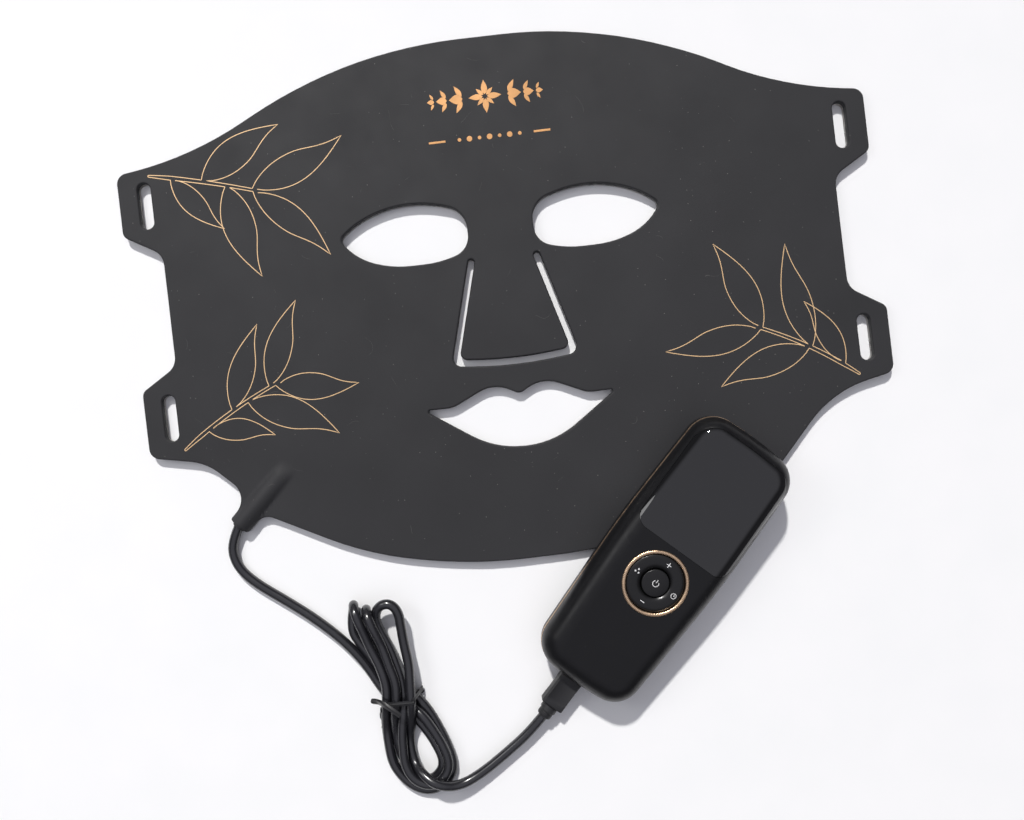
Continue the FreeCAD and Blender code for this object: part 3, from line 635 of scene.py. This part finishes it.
def filled(name, outline, skin, slot, body, centre, lift=0.07, surface=None, frame_=None):
    """A solid printed figure: a fan from its middle, following the surface."""
    surface = surface or (lambda x, y: float(top_height(x, y)))
    outline = [np.array(p, float) for p in outline]
    centre = np.array(centre, float)
    rings = [[centre + (p - centre) * s for p in outline] for s in (0.35, 0.7, 0.97)]
    verts = [Vector((*centre, surface(*centre) + lift))]
    for ring in rings:
        verts += [Vector((*p, surface(*p) + lift)) for p in ring]
    verts += [Vector((*p, surface(*p) - lift)) for p in outline]
    n = len(outline)
    faces = [(0, 1 + i, 1 + (i + 1) % n) for i in range(n)]
    for r in range(3):
        for i in range(n):
            j = (i + 1) % n
            faces.append((1 + r * n + i, 1 + (r + 1) * n + i, 1 + (r + 1) * n + j, 1 + r * n + j))
    if frame_ is not None:
        verts = [frame_ @ v for v in verts]
    return piece(name, verts, faces, skin, body)


def petal(name, base, tip, wide):
    left, right = leaf_side(base, tip, wide, 0, 14), leaf_side(base, tip, -wide, 0, 14)
    middle = (np.array(base) + np.array(tip)) / 2
    filled(name, np.concatenate([left, right[::-1][1:-1]]), PRINT, "gold_trim", "mask", middle)


ORNAMENT_Y = 60
DASH_Y = 41.6


def make_prints():
    sprig("sprig_upper_left", ((-156.0, 41.7), (-107.5, 29.2), 0.7), [
        (0.22, (-124.5, 14.0), 4.6, -1.6, -1), (0.50, (-95.0, 58.3), 6.6, 1.8, 1),
        (0.72, (-110.0, -9.5), 6.8, -1.8, -1), (0.97, (-67.0, 50.0), 6.6, -1.4, 1),
        (0.98, (-78.0, -3.3), 5.8, 1.4, -1)])
    sprig("sprig_lower_left", ((-153.8, -83.8), (-108.0, -58.0), 1.6), [
        (0.28, (-112.5, -81.8), 4.6, 1.6, -1), (0.55, (-115.0, -30.8), 5.4, 1.2, 1),
        (0.70, (-83.5, -84.3), 6.6, 1.6, -1), (0.93, (-96.3, -22.0), 5.4, 1.6, 1),
        (0.98, (-72.0, -62.5), 5.8, -1.6, -1)])
    sprig("sprig_right", ((154.3, -85.0), (110.5, -58.5), -1.8), [
        (0.17, (133.0, -49.5), 4.8, -1.6, -1), (0.50, (127.5, -22.5), 6.0, 1.2, -1),
        (0.52, (91.3, -83.8), 6.0, -1.6, 1), (0.97, (95.0, -18.8), 6.2, -1.4, -1),
        (0.98, (68.0, -65.0), 5.8, 1.6, 1)])
    # A generic ornament on the forehead: a rosette between two rows of leaves, over dashes and dots.
    for k in range(8):
        a = math.tau * k / 8
        reach = 7.6 if k % 2 == 0 else 5.4
        petal(f"ornament_petal_{k}", (0.9 * math.cos(a), ORNAMENT_Y + 0.9 * math.sin(a)),
              (reach * math.cos(a), ORNAMENT_Y + reach * math.sin(a)), 1.45 if k % 2 == 0 else 0.9)
    for side, name in ((1, "right"), (-1, "left")):
        for k, (x, long, wide) in enumerate(((10.2, 6.4, 2.3), (17.4, 5.0, 1.8), (23.2, 3.4, 1.2))):
            petal(f"ornament_bud_{name}_{k}", (side * x, ORNAMENT_Y), (side * (x + long), ORNAMENT_Y), wide)
            for up in (1, -1):
                petal(f"ornament_leaf_{name}_{k}_{'low' if up < 0 else 'high'}",
                      (side * (x + 0.4), ORNAMENT_Y + up * 1.0),
                      (side * (x + long * 0.55), ORNAMENT_Y + up * (long * 0.85 + 0.8)), wide * 0.5)
        dash = [(side * x, DASH_Y) for x in np.linspace(20.2, 27.8, 5)]
        ribbon(f"ornament_dash_{name}", dash, 1.1, PRINT, "gold_trim", "mask")
    for k in range(7):
        x, size = (k - 3) * 4.6, 1.3 if k % 2 else 0.85
        turn = np.linspace(0, math.tau, 20)[:-1]
        disc = [(x + size * math.cos(a), DASH_Y + size * math.sin(a)) for a in turn]
        filled(f"ornament_dot_{k}", disc, PRINT, "gold_trim", "mask", (x, DASH_Y))


make_prints()


# ---------------------------------------------------------------- the controller's keys and marks
ABOVE_KEYS_Z = 60
KEY_TOP_Z = 21.0


def drop_on(name):
    """Height of a piece's outer face at a point, in the controller's own frame."""
    mesh = bpy.data.objects[name].data
    into = CTRL.inverted()
    points = [into @ (v.co * 1000) for v in mesh.vertices]
    tree = BVHTree.FromPolygons(points, [tuple(p.vertices) for p in mesh.polygons])

    def height(x, y):
        hit = tree.ray_cast(Vector((x, y, ABOVE_KEYS_Z)), Vector((0, 0, -1)))[0]
        return hit.z if hit else KEY_TOP_Z
    return height


def make_marks():
    ring, button = drop_on("rocker_crown"), drop_on("button_cap")
    common = dict(skin=MARKS, slot="header_white", lift=0.035, frame_=CTRL)
    on_ring = dict(common, surface=ring, body="rocker")
    r = 9.7  # from the middle of the ring to the middle of each mark

    def bar(name, x0, y0, x1, y1, wide=0.42):
        line = [(x0 + (x1 - x0) * t, y0 + (y1 - y0) * t) for t in np.linspace(0, 1, 6)]
        ribbon(name, line, wide, **on_ring)

    bar("mark_plus_across", -1.15, KEY_Y + r, 1.15, KEY_Y + r)
    bar("mark_plus_along", 0, KEY_Y + r - 1.15, 0, KEY_Y + r + 1.15)
    bar("mark_minus", -1.05, KEY_Y - r, 1.05, KEY_Y - r)
    for k in range(3):
        a = math.pi / 2 + math.tau * k / 3
        x, y = -r + 0.95 * math.cos(a), KEY_Y + 0.95 * math.sin(a)
        disc = [(x + 0.42 * math.cos(b), y + 0.42 * math.sin(b)) for b in np.linspace(0, math.tau, 15)[:-1]]
        filled(f"mark_mode_{k}", disc, centre=(x, y), **on_ring)
    face = [(r + 1.15 * math.cos(a), KEY_Y + 1.15 * math.sin(a)) for a in np.linspace(0, math.tau, 29)[:-1]]
    ribbon("mark_clock_rim", face, 0.3, closed=True, **on_ring)
    bar("mark_clock_hand_long", r, KEY_Y - 0.1, r, KEY_Y + 0.8, 0.26)
    bar("mark_clock_hand_short", r - 0.1, KEY_Y, r + 0.6, KEY_Y, 0.26)
    arc = [(1.35 * math.sin(a), KEY_Y + 1.35 * math.cos(a)) for a in np.linspace(0.75, math.tau - 0.75, 26)]
    on_button = dict(common, surface=button, body="button")
    ribbon("mark_power_arc", arc, 0.36, **on_button)
    ribbon("mark_power_bar", [(0, KEY_Y + t) for t in np.linspace(0.35, 1.85, 5)], 0.36, **on_button)


def make_bezel():
    """Gilt ring with a fine milled edge on its crown."""
    profile = [(13.08, 21.05), (13.08, 22.05), (13.25, 22.3), (13.6, 22.46), (14.0, 22.48), (14.4, 22.34),
               (14.72, 22.02), (14.72, 21.05)]

    def milled(i, k, radius, z):
        tooth = (0.0, 1.0, 0.35)[i % 3]
        if k in (2, 3, 4, 5):
            z -= 0.12 * tooth
        if k in (5, 6):
            radius -= 0.06 * tooth
        return radius, z

    verts, faces = turned(profile, 360, at=(0, KEY_Y, 0), wave=milled, frame_=CTRL)
    piece("key_bezel", verts, faces, GOLD, "controller", ("bezel_ring",), crease=60)


def make_keys():
    """Ring key with a rounded crown, and the round button in its middle."""
    crest, crest_r, steep = 22.0, 9.9, 0.026
    crown = [(r, crest - steep * abs(r - crest_r) ** 3) for r in np.linspace(6.62, 12.6, 25)]
    profile = [(6.45, 18.8), (6.45, 20.7), (6.5, 20.95)] + crown
    profile += [(12.7, 21.35), (12.75, 21.15), (12.75, 18.8)]
    verts, faces = turned(profile, 160, at=(0, KEY_Y, 0), frame_=CTRL)
    piece("rocker_crown", verts, faces, KEYS, "rocker", ("rocker_ring",), crease=50)
    dome = [(r, 22.3 - r * r / 62) for r in np.linspace(5.75, 0.05, 16)]
    profile = [(0.05, 18.6), (6.15, 18.6), (6.15, 21.15), (6.12, 21.42), (6.02, 21.62),
               (5.88, 21.73)] + dome
    verts, faces = turned(profile, 120, at=(0, KEY_Y, 0), frame_=CTRL)
    piece("button_cap", verts, faces, KEYS, "button", ("power_button",), crease=50)


def softened(node, name, skin, body, width):
    """A CAD piece of the controller with its sharp edges eased; its level face is shaded flat."""
    bm = clean(node)
    sharp = [e for e in bm.edges if len(e.link_faces) == 2 and e.calc_face_angle(0) > math.radians(38)]
    bmesh.ops.bevel(bm, geom=sharp, offset=width, segments=2, profile=0.6, affect="EDGES",
                    clamp_overlap=True)
    mesh = bpy.data.meshes.new(name)
    bmesh.ops.scale(bm, vec=(MM, MM, MM), verts=bm.verts)
    bm.to_mesh(mesh)
    bm.free()
    mesh.materials.clear()
    mesh.materials.append(skin)
    dress(bpy.data.objects.new(name, mesh), body, (node,), crease=30)
    face_up = CTRL_TURN.to_3x3() @ Vector((0, 0, 1))
    level = [f for f in mesh.polygons if f.normal.dot(face_up) > 0.9999]
    around = [mesh.loops[i].edge_index for f in level for i in f.loop_indices]
    for index in set(around):
        if around.count(index) == 1:
            mesh.edges[index].use_edge_sharp = True


make_keys()
make_marks()
make_bezel()
softened("display_lens", "display_window", LENS, "controller", 0.12)


# ---------------------------------------------------------------- the plug
PLUG_START, PLUG_L, PORT_Z, RELIEF_L = -67.8, 15.8, 6.2, 6.0


CORNER_STEPS = 6


def rounded_rect(half_x, half_z, radius):
    points = []
    for cx, cz, a0 in ((1, 1, 0), (-1, 1, 90), (-1, -1, 180), (1, -1, 270)):
        for k in range(CORNER_STEPS + 1):
            a = math.radians(a0 + 90 * k / CORNER_STEPS)
            points.append(((half_x - radius) * cx + radius * math.cos(a),
                           (half_z - radius) * cz + radius * math.sin(a)))
    return points


def make_plug():
    """Moulded grip with softened ends and a shallow thumb panel, then a stepped strain relief."""
    stations = [(0.0, 0.4), (0.1, 0.18), (0.25, 0.05), (0.6, 0.0)]
    stations += [(t, 0.0) for t in np.linspace(1.6, PLUG_L - 1.6, 17)]
    stations += [(PLUG_L - 0.6, 0.0), (PLUG_L - 0.25, 0.05), (PLUG_L - 0.1, 0.18), (PLUG_L, 0.4)]
    verts, faces = [], []
    for y, shy in stations:
        waist = 0.12 * math.sin(math.pi * y / PLUG_L) ** 2
        ring = rounded_rect(5.4 - shy - waist, 3.2 - shy, 1.15 - shy * 0.6)
        for x, z in ring:
            flat_side = abs(z) > 3.2 - shy - 0.02
            if flat_side and 2.4 < y < PLUG_L - 2.4:
                z -= math.copysign(0.22, z)
            verts.append(CTRL @ Vector((x, PLUG_START - y, PORT_Z + z)))
    n = len(ring)
    for i in range(len(stations) - 1):
        for k in range(n):
            m = (k + 1) % n
            faces.append((i * n + k, (i + 1) * n + k, (i + 1) * n + m, i * n + m))
    faces += [tuple(range(n)), tuple((len(stations) - 1) * n + k for k in range(n))[::-1]]
    piece("plug_grip", verts, faces, PLUG, "mask", ("plug_overmould",), crease=38)

    profile = [(2.25, 0), (3.3, 0), (3.75, 0.25), (3.8, 2.6), (3.55, 2.9), (3.1, 3.05), (3.1, 3.55),
               (3.35, 3.75),
               (3.35, 5.3), (3.1, 5.75), (2.7, 6.0), (2.25, 6.0)]
    verts, faces = turned(profile, 40)
    lay = CTRL @ Matrix.Translation((0, PLUG_START - PLUG_L, PORT_Z)) @ Matrix.Rotation(math.pi / 2, 4, "X")
    piece("plug_strain_relief", [lay @ v for v in verts], faces, PLUG, "mask",
          ("plug_relief",))


make_plug()


# ---------------------------------------------------------------- the cord: route points in millimetres
# LEAD and TAIL are the CAD route's own points; only the turns of the hank between them are settled.
LEAD = [
    (-134.38, -121.55, 3.5), (-138.2, -128.2, 2.9), (-138.5, -135.6, 2.25), (-135.3, -142.4, 2.25),
    (-128.6, -149.1, 2.25), (-118.5, -156.6, 2.25), (-105.5, -166.8, 2.25), (-93.5, -178.3, 2.25),
    (-84.5, -190.0, 2.25), (-78.5, -202.0, 2.25)]
# Each turn of the hank: under the tie, round the lower loop, up through the tie, over an upper loop, back.
TURN_1 = [
    (-72.5, -208.0, 2.3), (-68.0, -213.0, 2.3),
    (-63.5, -217.5, 2.3), (-59.5, -223.5, 2.3), (-56.0, -230.5, 2.3), (-53.5, -237.0, 2.3),
    (-54.5, -242.5, 2.3),
    (-59.0, -246.5, 2.3), (-64.0, -246.5, 2.3), (-68.0, -243.0, 2.3), (-71.5, -237.5, 2.3),
    (-73.0, -230.0, 2.3),
    (-73.0, -222.0, 3.0), (-71.5, -213.5, 7.0), (-70.0, -206.5, 10.0), (-70.0, -198.5, 10.2),
    (-72.5, -190.5, 9.5),
    (-74.5, -182.0, 9.0), (-76.2, -176.5, 10.9), (-77.7, -172.0, 12.1), (-78.8, -167.9, 12.1),
    (-79.7, -165.0, 9.2),
    (-80.5, -165.0, 5.1), (-81.3, -167.9, 2.3), (-82.4, -172.2, 2.3)]
TURN_2 = [
    (-83.0, -178.0, 2.3), (-80.0, -184.0, 2.3), (-76.0, -192.0, 2.3), (-72.0, -199.5, 2.3),
    (-68.0, -205.5, 2.3),
    (-63.5, -211.0, 2.3), (-59.5, -216.0, 2.3), (-55.5, -223.0, 2.3), (-52.0, -232.0, 2.3),
    (-50.0, -240.0, 2.3),
    (-51.5, -246.0, 2.3), (-56.5, -250.0, 2.3), (-62.5, -251.0, 2.3), (-68.5, -248.5, 2.3),
    (-73.5, -243.5, 2.3),
    (-77.0, -237.0, 2.3), (-77.5, -229.0, 2.3), (-77.0, -220.5, 3.0), (-75.5, -212.5, 7.0),
    (-74.0, -206.0, 10.0),
    (-74.0, -199.0, 10.0), (-76.5, -190.5, 8.8), (-80.0, -182.5, 8.7), (-82.2, -174.0, 10.8),
    (-83.5, -169.3, 12.1),
    (-84.6, -165.2, 12.1), (-85.4, -162.3, 9.2), (-86.2, -162.3, 5.1), (-87.0, -165.2, 2.3),
    (-88.1, -169.5, 2.3)]
TURN_3 = [
    (-88.5, -175.5, 2.3), (-86.0, -180.5, 2.3), (-82.0, -187.0, 2.3), (-77.5, -194.0, 2.3),
    (-73.5, -201.0, 2.3),
    (-69.5, -207.0, 2.3), (-65.0, -211.5, 3.5), (-60.0, -216.0, 6.0), (-56.5, -222.5, 6.2),
    (-53.0, -230.0, 6.2),
    (-51.0, -237.5, 6.2), (-52.5, -243.0, 6.2), (-57.0, -247.0, 6.2), (-62.5, -247.0, 6.2),
    (-68.0, -243.5, 6.2),
    (-71.0, -237.0, 6.2), (-71.0, -229.5, 6.2), (-70.5, -222.0, 6.2), (-69.0, -214.0, 6.2),
    (-68.0, -208.0, 6.2),
    (-68.0, -200.0, 6.2), (-70.0, -191.5, 6.2), (-72.5, -183.0, 6.2), (-75.6, -175.5, 6.5),
    (-76.9, -169.8, 7.4),
    (-75.8, -165.2, 8.8), (-72.2, -162.7, 10.0), (-68.0, -163.5, 10.2), (-65.6, -167.7, 9.8),
    (-65.4, -174.0, 9.2),
    (-65.0, -182.5, 8.6), (-64.0, -190.5, 9.0), (-64.5, -198.5, 10.0)]
# The way out of the hank, over its lower loop; its last point is the route's, moved to follow the turns.
HANK_END = [
    (-65.5, -206.5, 10.0), (-67.0, -215.0, 6.5), (-69.0, -224.5, 2.5), (-69.0, -231.5, 2.3),
    (-67.5, -238.0, 3.5),
    (-64.0, -241.5, 8.0), (-57.5, -246.2, 10.4)]
TAIL = [(-47.5, -249.4, 6.6), (-36.0, -244.6, 4.9), (-24.5, -237.2, 4.6), (-13.4, -229.2, 5.0)]


def along_spline(p):
    """Four points on each span of the cord's own spline, and the share each of three points has in them."""
    t = np.array([0, 0.25, 0.5, 0.75])
    shares = np.stack([0.5 * (1 - t) ** 2, 0.5 + t - t * t, 0.5 * t * t])
    spans = np.stack([p[:-2], p[1:-1], p[2:]])
    return np.einsum("kt,ksx->stx", shares, spans).reshape(-1, 3), shares


SETTLE_ROUNDS = 60
STRAND_GAP = 4.5
CORD_LOW = 2.25
TIE_LIFT = 0.8


def settled(points, first, last):
    """Let the hank's strands, from first to last, push each other apart until they lie side by side.

    Strands closer than STRAND_GAP move away from each other, none sinks below CORD_LOW, and TIE_LIFT leaves
    room for the tie under them.
    """
    rest = np.array(points, float)
    p = rest.copy()
    free = np.zeros((len(p), 1))
    free[first:last] = 1
    for _ in range(SETTLE_ROUNDS):
        c, shares = along_spline(p)
        run = np.concatenate([[0], np.cumsum(np.linalg.norm(np.diff(c, axis=0), axis=1))])
        apart = c[:, None] - c[None]
        distance = np.linalg.norm(apart, axis=2)
        touching = (distance < STRAND_GAP) & (np.abs(run[:, None] - run[None]) > 2.2 * CORD_D)
        push = np.where(touching, (STRAND_GAP - distance) / np.maximum(distance, 1e-6), 0)
        push = push[..., None] * apart / 2
        move = (push.sum(1) / np.maximum(touching.sum(1), 1)[:, None]).reshape(-1, 4, 3)
        shift, weight = np.zeros_like(p), np.full((len(p), 1), 1e-9)
        for k in range(3):
            shift[k:len(p) - 2 + k] += np.einsum("t,stx->sx", shares[k], move)
            weight[k:len(p) - 2 + k] += shares[k].sum()
        bend = np.zeros_like(p)
        bend[1:-1] = (p[:-2] + p[2:]) / 2 - p[1:-1] - (rest[:-2] + rest[2:]) / 2 + rest[1:-1]
        p = p + (shift / weight + 0.08 * bend + 0.02 * (rest - p)) * free
        lift = np.where(p[:, 0] > HANK_WEST, TIE_LIFT, 0)
        under = CORD_LOW + lift * np.exp(-((p[:, 1] - TIE_Y) / 6) ** 2)
        p[:, 2] = np.where(free[:, 0] > 0, np.maximum(p[:, 2], under), p[:, 2])
    return p


def make_cord():
    end = CTRL @ Vector((0, PLUG_START - PLUG_L - RELIEF_L + 0.3, PORT_Z))
    hank = TURN_1 + TURN_2 + TURN_3 + HANK_END
    route = settled(LEAD + hank + TAIL + [tuple(end)], len(LEAD), len(LEAD) + len(hank))
    data = bpy.data.curves.new("cord", "CURVE")
    data.dimensions = "3D"
    data.resolution_u = 6
    data.bevel_depth = CORD_D / 2 * MM
    data.bevel_resolution = 5
    data.use_fill_caps = True
    line = data.splines.new("NURBS")
    line.points.add(len(route) - 1)
    for point, at in zip(line.points, route):
        point.co = (*(at * MM), 1)
    line.order_u = 3
    line.use_endpoint_u = True
    line.use_smooth = True
    data.materials.append(CORD)
    cord = dress(bpy.data.objects.new("cord", data), "mask",
                 ("cord_lead", "cord_hank", "cord_tail"))
    return cord, route


def make_tie(route):
    """A flat wired strip: over the bundle, folded back at the left, round the bundle, and a loose end."""
    curve, _ = along_spline(route)
    near = [a + (b - a) * (TIE_Y - a[1]) / (b[1] - a[1]) for a, b in zip(curve, curve[1:])
            if (a[1] - TIE_Y) * (b[1] - TIE_Y) < 0 and a[0] > HANK_WEST]
    hubs = np.array([(c[0], c[2]) for c in near])

    def around(degrees, out, y):
        u = np.array([math.cos(math.radians(degrees)), math.sin(math.radians(degrees))])
        x, z = hubs[np.argmax(hubs @ u)] + u * (CORD_D / 2 + out)
        return (x, y, max(z, 0.85), u[0], -0.15, u[1])

    stops = [
        (-69.3, -211.9, 14.9, 0.1, 0.25, 1), (-71.6, -209.7, 15.0, 0, 0.25, 1),
        (-74.4, -207.5, 14.6, -0.1, 0.4, 1),
        (-77.4, -205.6, 13.6, -0.2, 0.8, 0.7), (-80.2, -204.6, 12.4, -0.5, 1, 0.3),
        (-81.9, -204.8, 11.7, -1, 0.2, 0.1),
        (-81.4, -205.9, 11.3, -0.6, -1, 0.2), (-79.2, -206.4, 11.5, -0.4, -0.8, 0.6)]
    stops += [around(d, 0.35, y) for d, y in ((118, -207.0), (98, -207.4), (78, -207.5), (58, -207.0),
                                              (38, -206.0))]
    stops += [around(d, 0.3, y) for d, y in ((15, -204.6), (-10, -204.4), (-35, -205.2), (-62, -206.4))]
    stops += [around(d, 0.25, y) for d, y in ((-90, -207.6), (-118, -208.6), (-145, -209.4),
                                              (-172, -210.2))]
    stops += [(-79.2, -212.4, 5.4, -1, -0.2, 0.4), (-80.0, -214.6, 4.6, -1, 0.1, 0.5),
              (-79.6, -217.0, 3.2, -1, 0.2, 0.4),
              (-79.0, -219.0, 1.9, -0.9, 0, 0.5), (-80.2, -221.2, 1.5, -0.6, 0, 0.8)]
    dense = eased(stops, 5)
    strip = [(-1.05, -0.12), (-0.36, -0.15), (0, -0.34), (0.36, -0.15), (1.05, -0.12), (1.05, 0.12),
             (0.36, 0.15),
             (0, 0.34), (-0.36, 0.15), (-1.05, 0.12)]
    swept("twist_tie_strip", [d[:3] for d in dense], strip, TIE, "mask",
          up=lambda i: Vector(dense[i][3:]).normalized(), replaces=("twist_tie",))


def eased(stops, per):
    """A smooth run through rows of numbers, with this many steps between two."""
    rows = np.array([stops[0]] + stops + [stops[-1]], float)
    run = []
    for a, b, c, d in zip(rows, rows[1:], rows[2:], rows[3:]):
        for t in np.arange(per) / per:
            run.append(0.5 * (2 * b + (c - a) * t + (2 * a - 5 * b + 4 * c - d) * t ** 2
                              + (3 * b - 3 * c + d - a) * t ** 3))
    return run + [rows[-1]]


cord, cord_route = make_cord()
make_tie(cord_route)

# ---------------------------------------------------------------- finishes of the CAD nodes that stay
slot_of = {part["node"]: part["material_slot"] for part in frame["record"]["subparts"]}
for node_name, node in NODES.items():
    slots = node.material_slots
    if not len(slots):
        node.data.materials.append(SKINS[slot_of[node_name]])
    for s in slots:
        s.material = SKINS[slot_of[node_name]]

# ---------------------------------------------------------------- floor, light and camera, in metres
FLOOR_REACH, FLOOR_Z = 3, -0.0001
FLOOR_TONES = ([0.92, 0.925, 0.93, 1], [0.94, 0.94, 0.945, 1])
GLOW_SIDES, GLOW_OVERHEAD = 0.12, 0.57
GLOW_STARTS, GLOW_FULL = 0.5, 0.85
GLOW_COLOUR = (0.92, 0.92, 1.02, 1)
SOFT_SIZE, SOFT_POWER = 0.3, 0.6
SOFT_AT, SOFT_AIM = Vector((-0.5, 0.15, 0.55)), Vector((0.05, -0.1, 0))
SUN_POWER, SUN_WIDTH = 2.85, 3.0
SUN_COLOUR = (1.0, 0.985, 0.96)
SUN_SHINES = Vector((0.157, -0.975, -1.0))
CAMERA_AT = Vector((-0.0044, -0.0831, 0.400))
CAMERA_LENS, CAMERA_SENSOR, CAMERA_TURN = 30.58, 36, -6.7

scene = bpy.context.scene
scene.view_settings.view_transform = "Standard"


def make_floor():
    """A plain pale sheet of paper, just below the object."""
    far = FLOOR_REACH
    corners = [(-far, -far, FLOOR_Z), (far, -far, FLOOR_Z), (far, far, FLOOR_Z), (-far, far, FLOOR_Z)]
    mesh = bpy.data.meshes.new("floor")
    mesh.from_pydata(corners, [], [(0, 1, 2, 3)])
    paper = Shader("floor_paper")
    tone = paper.mix(paper.spread(paper.noise(30), 0.0, 1.0), *FLOOR_TONES)
    paper.wire(tone, paper.bsdf.inputs["Base Color"])
    paper.set(Roughness=0.9)
    mesh.materials.append(paper.material)
    ground = bpy.data.objects.new("floor", mesh)
    scene.collection.objects.link(ground)
    return ground


def make_sky():
    """Plain soft light: an even glow, stronger from overhead, the same for light and for reflections."""
    world = bpy.data.worlds.new("studio")
    scene.world = world
    world.use_nodes = True
    nodes, links = world.node_tree.nodes, world.node_tree.links
    split = nodes.new("ShaderNodeSeparateXYZ")
    links.new(nodes.new("ShaderNodeTexCoord").outputs["Generated"], split.inputs[0])
    ramp = nodes.new("ShaderNodeMapRange")
    ramp.interpolation_type = "SMOOTHSTEP"
    for key, number in (("From Min", GLOW_STARTS), ("From Max", GLOW_FULL), ("To Min", GLOW_SIDES),
                        ("To Max", GLOW_OVERHEAD)):
        ramp.inputs[key].default_value = number
    links.new(split.outputs["Z"], ramp.inputs["Value"])
    links.new(ramp.outputs["Result"], nodes["Background"].inputs["Strength"])
    nodes["Background"].inputs["Color"].default_value = GLOW_COLOUR


def aimed(name, data, way):
    """An object for this lamp, shining this way."""
    lamp = bpy.data.objects.new(name, data)
    lamp.rotation_mode = "QUATERNION"
    lamp.rotation_quaternion = way.to_track_quat("-Z", "Y")
    scene.collection.objects.link(lamp)
    return lamp


def make_lamps():
    """A round soft lamp on the left and one sun, which casts the shadows."""
    soft_data = bpy.data.lights.new("soft_box", "AREA")
    soft_data.shape = "DISK"
    soft_data.size = SOFT_SIZE
    soft_data.energy = SOFT_POWER
    aimed("soft_box", soft_data, SOFT_AIM - SOFT_AT).location = SOFT_AT
    sun_data = bpy.data.lights.new("key_light", "SUN")
    sun_data.energy = SUN_POWER
    sun_data.angle = math.radians(SUN_WIDTH)
    sun_data.color = SUN_COLOUR
    aimed("key_light", sun_data, SUN_SHINES)


def make_camera():
    """Straight above, turned a little about the vertical."""
    data = bpy.data.cameras.new("camera")
    data.sensor_width = CAMERA_SENSOR
    data.lens = CAMERA_LENS
    data.clip_start = 0.01
    camera = bpy.data.objects.new("camera", data)
    camera.location = CAMERA_AT
    camera.rotation_euler = Euler((0, 0, math.radians(CAMERA_TURN)))
    scene.collection.objects.link(camera)
    scene.camera = camera


floor = make_floor()
make_sky()
make_lamps()
make_camera()
